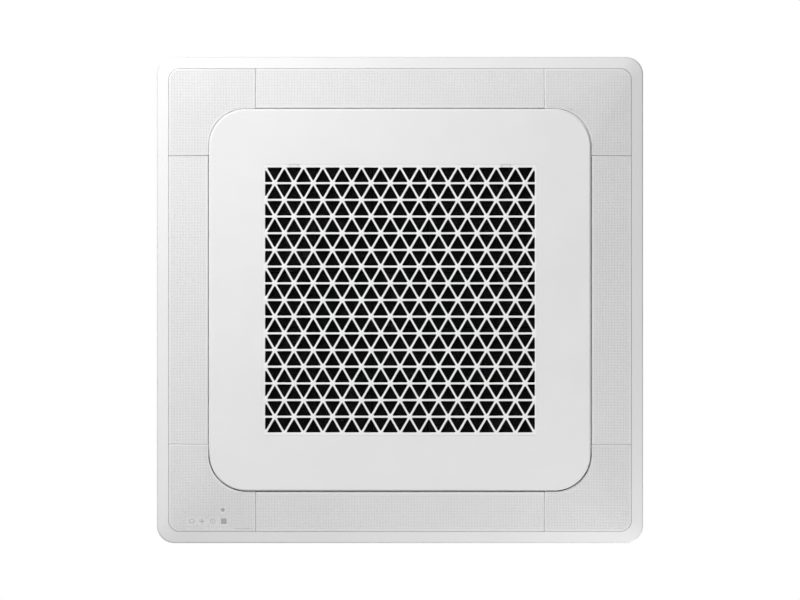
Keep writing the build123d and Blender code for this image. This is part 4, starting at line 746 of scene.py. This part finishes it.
def stitch(bm, outer, inner):
    """Triangles between two convex loops of vertices that run the same way."""
    start = min(range(len(inner)), key=lambda k: (inner[k].co - outer[0].co).xy.length)
    i = j = 0
    while i < len(outer) or j < len(inner):
        a, b = outer[i % len(outer)], inner[(start + j) % len(inner)]
        next_a, next_b = outer[(i + 1) % len(outer)], inner[(start + j + 1) % len(inner)]
        outer_step = (next_a.co - b.co).xy.length <= (next_b.co - a.co).xy.length
        if j == len(inner) or (i < len(outer) and outer_step):
            bm.faces.new((a, next_a, b))
            i += 1
        else:
            bm.faces.new((a, next_b, b))
            j += 1


def lattice_cells():
    for row in range(-1, 17):
        low = -OPEN_Y + row * TALL
        for column in range(-2, 16):
            x = -OPEN_X + (column + 0.5 * (row % 2)) * SIDE
            yield [(x, low), (x + SIDE, low), (x + SIDE / 2, low + TALL)]
            yield [(x + SIDE / 2, low + TALL), (x + SIDE, low), (x + 1.5 * SIDE, low + TALL)]


bm = bmesh.new()
# Half a bar's section: distance from its middle line, height
BAR = [(0.0, LATTICE_LOW), (0.9, -31.46), (1.5, -31.12), (1.85, -30.6), (BAR_HALF, -30.0),
       (BAR_HALF, LATTICE_HIGH)]
for cell in lattice_cells():
    for nx, ny, reach in ((1, 0, EDGE_X), (-1, 0, EDGE_X), (0, 1, EDGE_Y), (0, -1, EDGE_Y)):
        cell = clip(cell, nx, ny, reach)
        if len(cell) < 3:
            break
    if len(cell) < 3:
        continue
    area = sum(a[0] * b[1] - b[0] * a[1] for a, b in zip(cell, cell[1:] + cell[:1])) / 2
    if area < 0.01:
        continue
    front = [bm.verts.new((x, y, BASE + LATTICE_LOW)) for x, y in cell]
    back = [bm.verts.new((x, y, BASE + LATTICE_HIGH)) for x, y in cell]
    if len(inset(cell, BAR_HALF + 1.2)) < 3:
        bm.faces.new(front[::-1])
        bm.faces.new(back)
        continue
    loop = front
    for distance, z in BAR[1:]:
        shape = inset(cell, distance)
        if distance > 1.0:
            shape = rounded(shape, CREST_CORNER if distance < 1.8 else FOOT_CORNER)
        after = [bm.verts.new((x, y, BASE + z)) for x, y in shape]
        stitch(bm, loop, after)
        loop = after
    stitch(bm, loop, back)
bmesh.ops.remove_doubles(bm, verts=bm.verts, dist=0.01)
edges = [
    e for e in bm.edges
    if e.is_boundary and all(abs(v.co.z - BASE - LATTICE_LOW) < 0.01 for v in e.verts)
]
# The rim's section, with the tongue that lies behind the plate's window: distance past the bars, height
RIM = [(1.5, LATTICE_LOW), (1.75, -31.52), (1.85, -31.3), (1.85, -29.0), (7.0, -29.0), (7.0, -27.5),
       (1.85, -27.5), (1.85, LATTICE_HIGH), (0.0, LATTICE_HIGH)]
for offset, z in RIM:
    grown = bmesh.ops.extrude_edge_only(bm, edges=edges)["geom"]
    for v in (g for g in grown if isinstance(g, bmesh.types.BMVert)):
        if abs(abs(v.co.x) - EDGE_X) < 8.0 and abs(v.co.x) > EDGE_X - 0.01:
            v.co.x = math.copysign(EDGE_X + offset, v.co.x)
        if abs(abs(v.co.y) - EDGE_Y) < 8.0 and abs(v.co.y) > EDGE_Y - 0.01:
            v.co.y = math.copysign(EDGE_Y + offset, v.co.y)
        v.co.z = BASE + z
    edges = [g for g in grown if isinstance(g, bmesh.types.BMEdge)]
bmesh.ops.remove_doubles(bm, verts=bm.verts, dist=0.01)
bmesh.ops.recalc_face_normals(bm, faces=bm.faces)
print("lattice faces", len(bm.faces), "open edges", sum(not e.is_manifold for e in bm.edges))
bmesh.ops.scale(bm, vec=(MM, MM, MM), verts=bm.verts)
lattice_mesh = bpy.data.meshes.new("triangle_lattice")
bm.to_mesh(lattice_mesh)
bm.free()
lattice = new_object("triangle_lattice", lattice_mesh, made_for["lattice_white"])

# Notches for the two latches' tabs, cut through the lattice's rim
bm = bmesh.new()
NOTCH_HALF, NOTCH_Y = 8.6, (-264.2, -252.0)
for x in (-LATCH_X, LATCH_X):
    low, high = (x - NOTCH_HALF, NOTCH_Y[0], BASE - 33.0), (x + NOTCH_HALF, NOTCH_Y[1], BASE - 25.0)
    verts = [bm.verts.new([(low, high)[(k >> axis) & 1][axis] * MM for axis in range(3)]) for k in range(8)]
    for face in ((0, 2, 3, 1), (4, 5, 7, 6), (0, 1, 5, 4), (2, 6, 7, 3), (0, 4, 6, 2), (1, 3, 7, 5)):
        bm.faces.new([verts[k] for k in face])
cutter_mesh = bpy.data.meshes.new("notch_cutter")
bm.to_mesh(cutter_mesh)
bm.free()
cutter = new_object("notch_cutter", cutter_mesh)
cut = lattice.modifiers.new("notches", "BOOLEAN")
cut.operation = "DIFFERENCE"
cut.solver = "EXACT"
cut.object = cutter
bpy.context.view_layer.update()
lattice_mesh = bpy.data.meshes.new_from_object(lattice.evaluated_get(bpy.context.evaluated_depsgraph_get()))
lattice.modifiers.clear()
lattice.data = lattice_mesh
bpy.data.objects.remove(cutter)
smooth_by_angle(lattice_mesh, 30)
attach(lattice, "grille")
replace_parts(lattice, "grille_lattice")


# ---- Filter net: crossing strands, one set above the other ----
def net(name, half_x, half_y, low, pitch=1.5, wide=1.0, thick=0.4):
    points, faces = [], []

    def strand(x0, x1, y0, y1, z0, z1):
        first = len(points)
        points.extend((x * MM, y * MM, z * MM) for x in (x0, x1) for y in (y0, y1) for z in (z0, z1))
        for face in ((0, 1, 3, 2), (4, 6, 7, 5), (0, 4, 5, 1), (2, 3, 7, 6), (0, 2, 6, 4), (1, 5, 7, 3)):
            faces.append([first + k for k in face])

    for k in range(int(2 * half_x / pitch) + 1):
        x = -half_x + wide / 2 + k * (2 * half_x - wide) / int(2 * half_x / pitch)
        strand(x - wide / 2, x + wide / 2, -half_y, half_y, low, low + thick)
    for k in range(int(2 * half_y / pitch) + 1):
        y = -half_y + wide / 2 + k * (2 * half_y - wide) / int(2 * half_y / pitch)
        strand(-half_x, half_x, y - wide / 2, y + wide / 2, low + thick, low + 2 * thick)
    mesh = bpy.data.meshes.new(name)
    mesh.from_pydata(points, [], faces)
    return new_object(name, mesh, made_for["net_black"])


low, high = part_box("filter_mesh")
filter_net = net("filter_net", high[0] * 1000, high[1] * 1000, low[2] * 1000)
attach(filter_net, "filter")
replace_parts(filter_net, "filter_mesh")

# ---- Camera, floor and light ----
CAMERA_Z, LENS = -6.166, 138.5  # far off on a long lens, looking straight up, as in the photograph
FLOOR_Z, FLOOR_HALF = -6.6, 90.0
AMBIENT = 0.25
scene = bpy.context.scene
camera = bpy.data.objects.new("camera", bpy.data.cameras.new("camera"))
camera.data.sensor_width = 36.0
camera.data.lens = LENS
camera.data.clip_end = 200.0
camera.location = (0.0, 0.0, CAMERA_Z)
camera.rotation_euler = (math.pi, 0.0, 0.0)
scene.collection.objects.link(camera)
scene.camera = camera


def seen_as_white(tree, share=1.0):
    """That share where the camera looks, or gloss or glass sees it, and 0 for all other light."""
    path = tree.nodes.new("ShaderNodeLightPath")
    seen = sums(tree, "MAXIMUM", path.outputs["Is Camera Ray"], path.outputs["Is Glossy Ray"])
    seen = sums(tree, "MAXIMUM", seen, path.outputs["Is Transmission Ray"])
    return sums(tree, "MULTIPLY", seen, share)


world = bpy.data.worlds.new("world")
scene.world = world
world.use_nodes = True
tree = world.node_tree
ambient = tree.nodes["Background"]
ambient.inputs["Color"].default_value = (1.0, 1.0, 1.0, 1.0)
ambient.inputs["Strength"].default_value = AMBIENT
backdrop = tree.nodes.new("ShaderNodeBackground")
backdrop.inputs["Color"].default_value = (1.0, 1.0, 1.0, 1.0)
backdrop.inputs["Strength"].default_value = 1.0
blend = tree.nodes.new("ShaderNodeMixShader")
tree.links.new(seen_as_white(tree), blend.inputs["Fac"])
tree.links.new(ambient.outputs["Background"], blend.inputs[1])
tree.links.new(backdrop.outputs["Background"], blend.inputs[2])
tree.links.new(blend.outputs["Shader"], tree.nodes["World Output"].inputs["Surface"])


def lamp(name, place, aim, size, power):
    data = bpy.data.lights.new(name, "AREA")
    data.shape = "DISK"
    data.size = size
    data.energy = power
    made = bpy.data.objects.new(name, data)
    made.location = place
    made.rotation_euler = (Vector(aim) - Vector(place)).to_track_quat("-Z", "Y").to_euler()
    made.visible_camera = False
    scene.collection.objects.link(made)


# Two light the panel from below, and two the cabinet from above: place, aim, width and watts
lamp("key", (-1.69, -1.96, -2.47), (0, 0, CEILING), 1.0, 94.0)
lamp("fill", (0.89, 1.41, -0.6), (0, 0, CEILING), 0.8, 10.5)
lamp("upper_front", (-1.4, -2.6, 2.2), (0, 0, 0), 2.0, 45.0)
lamp("upper_rear", (2.2, 2.4, 1.8), (0, 0, 0), 2.0, 30.0)

floor_mesh = bpy.data.meshes.new("floor")
floor_corners = [(x * FLOOR_HALF, y * FLOOR_HALF, 0) for x, y in ((-1, -1), (1, -1), (1, 1), (-1, 1))]
floor_mesh.from_pydata(floor_corners, [], [(0, 1, 2, 3)])
floor_material, floor_tree, floor_shader = new_material("floor", (0.86, 0.86, 0.86), 0.9)
glow = floor_tree.nodes.new("ShaderNodeEmission")
glow.inputs["Strength"].default_value = 1.0
blend = floor_tree.nodes.new("ShaderNodeMixShader")
floor_tree.links.new(seen_as_white(floor_tree, 0.8), blend.inputs["Fac"])
floor_tree.links.new(floor_shader.outputs["BSDF"], blend.inputs[1])
floor_tree.links.new(glow.outputs["Emission"], blend.inputs[2])
floor_tree.links.new(blend.outputs["Shader"], floor_tree.nodes["Material Output"].inputs["Surface"])
floor = new_object("floor", floor_mesh, floor_material)
floor.location = (0, 0, FLOOR_Z)

scene.view_settings.view_transform = "Standard"
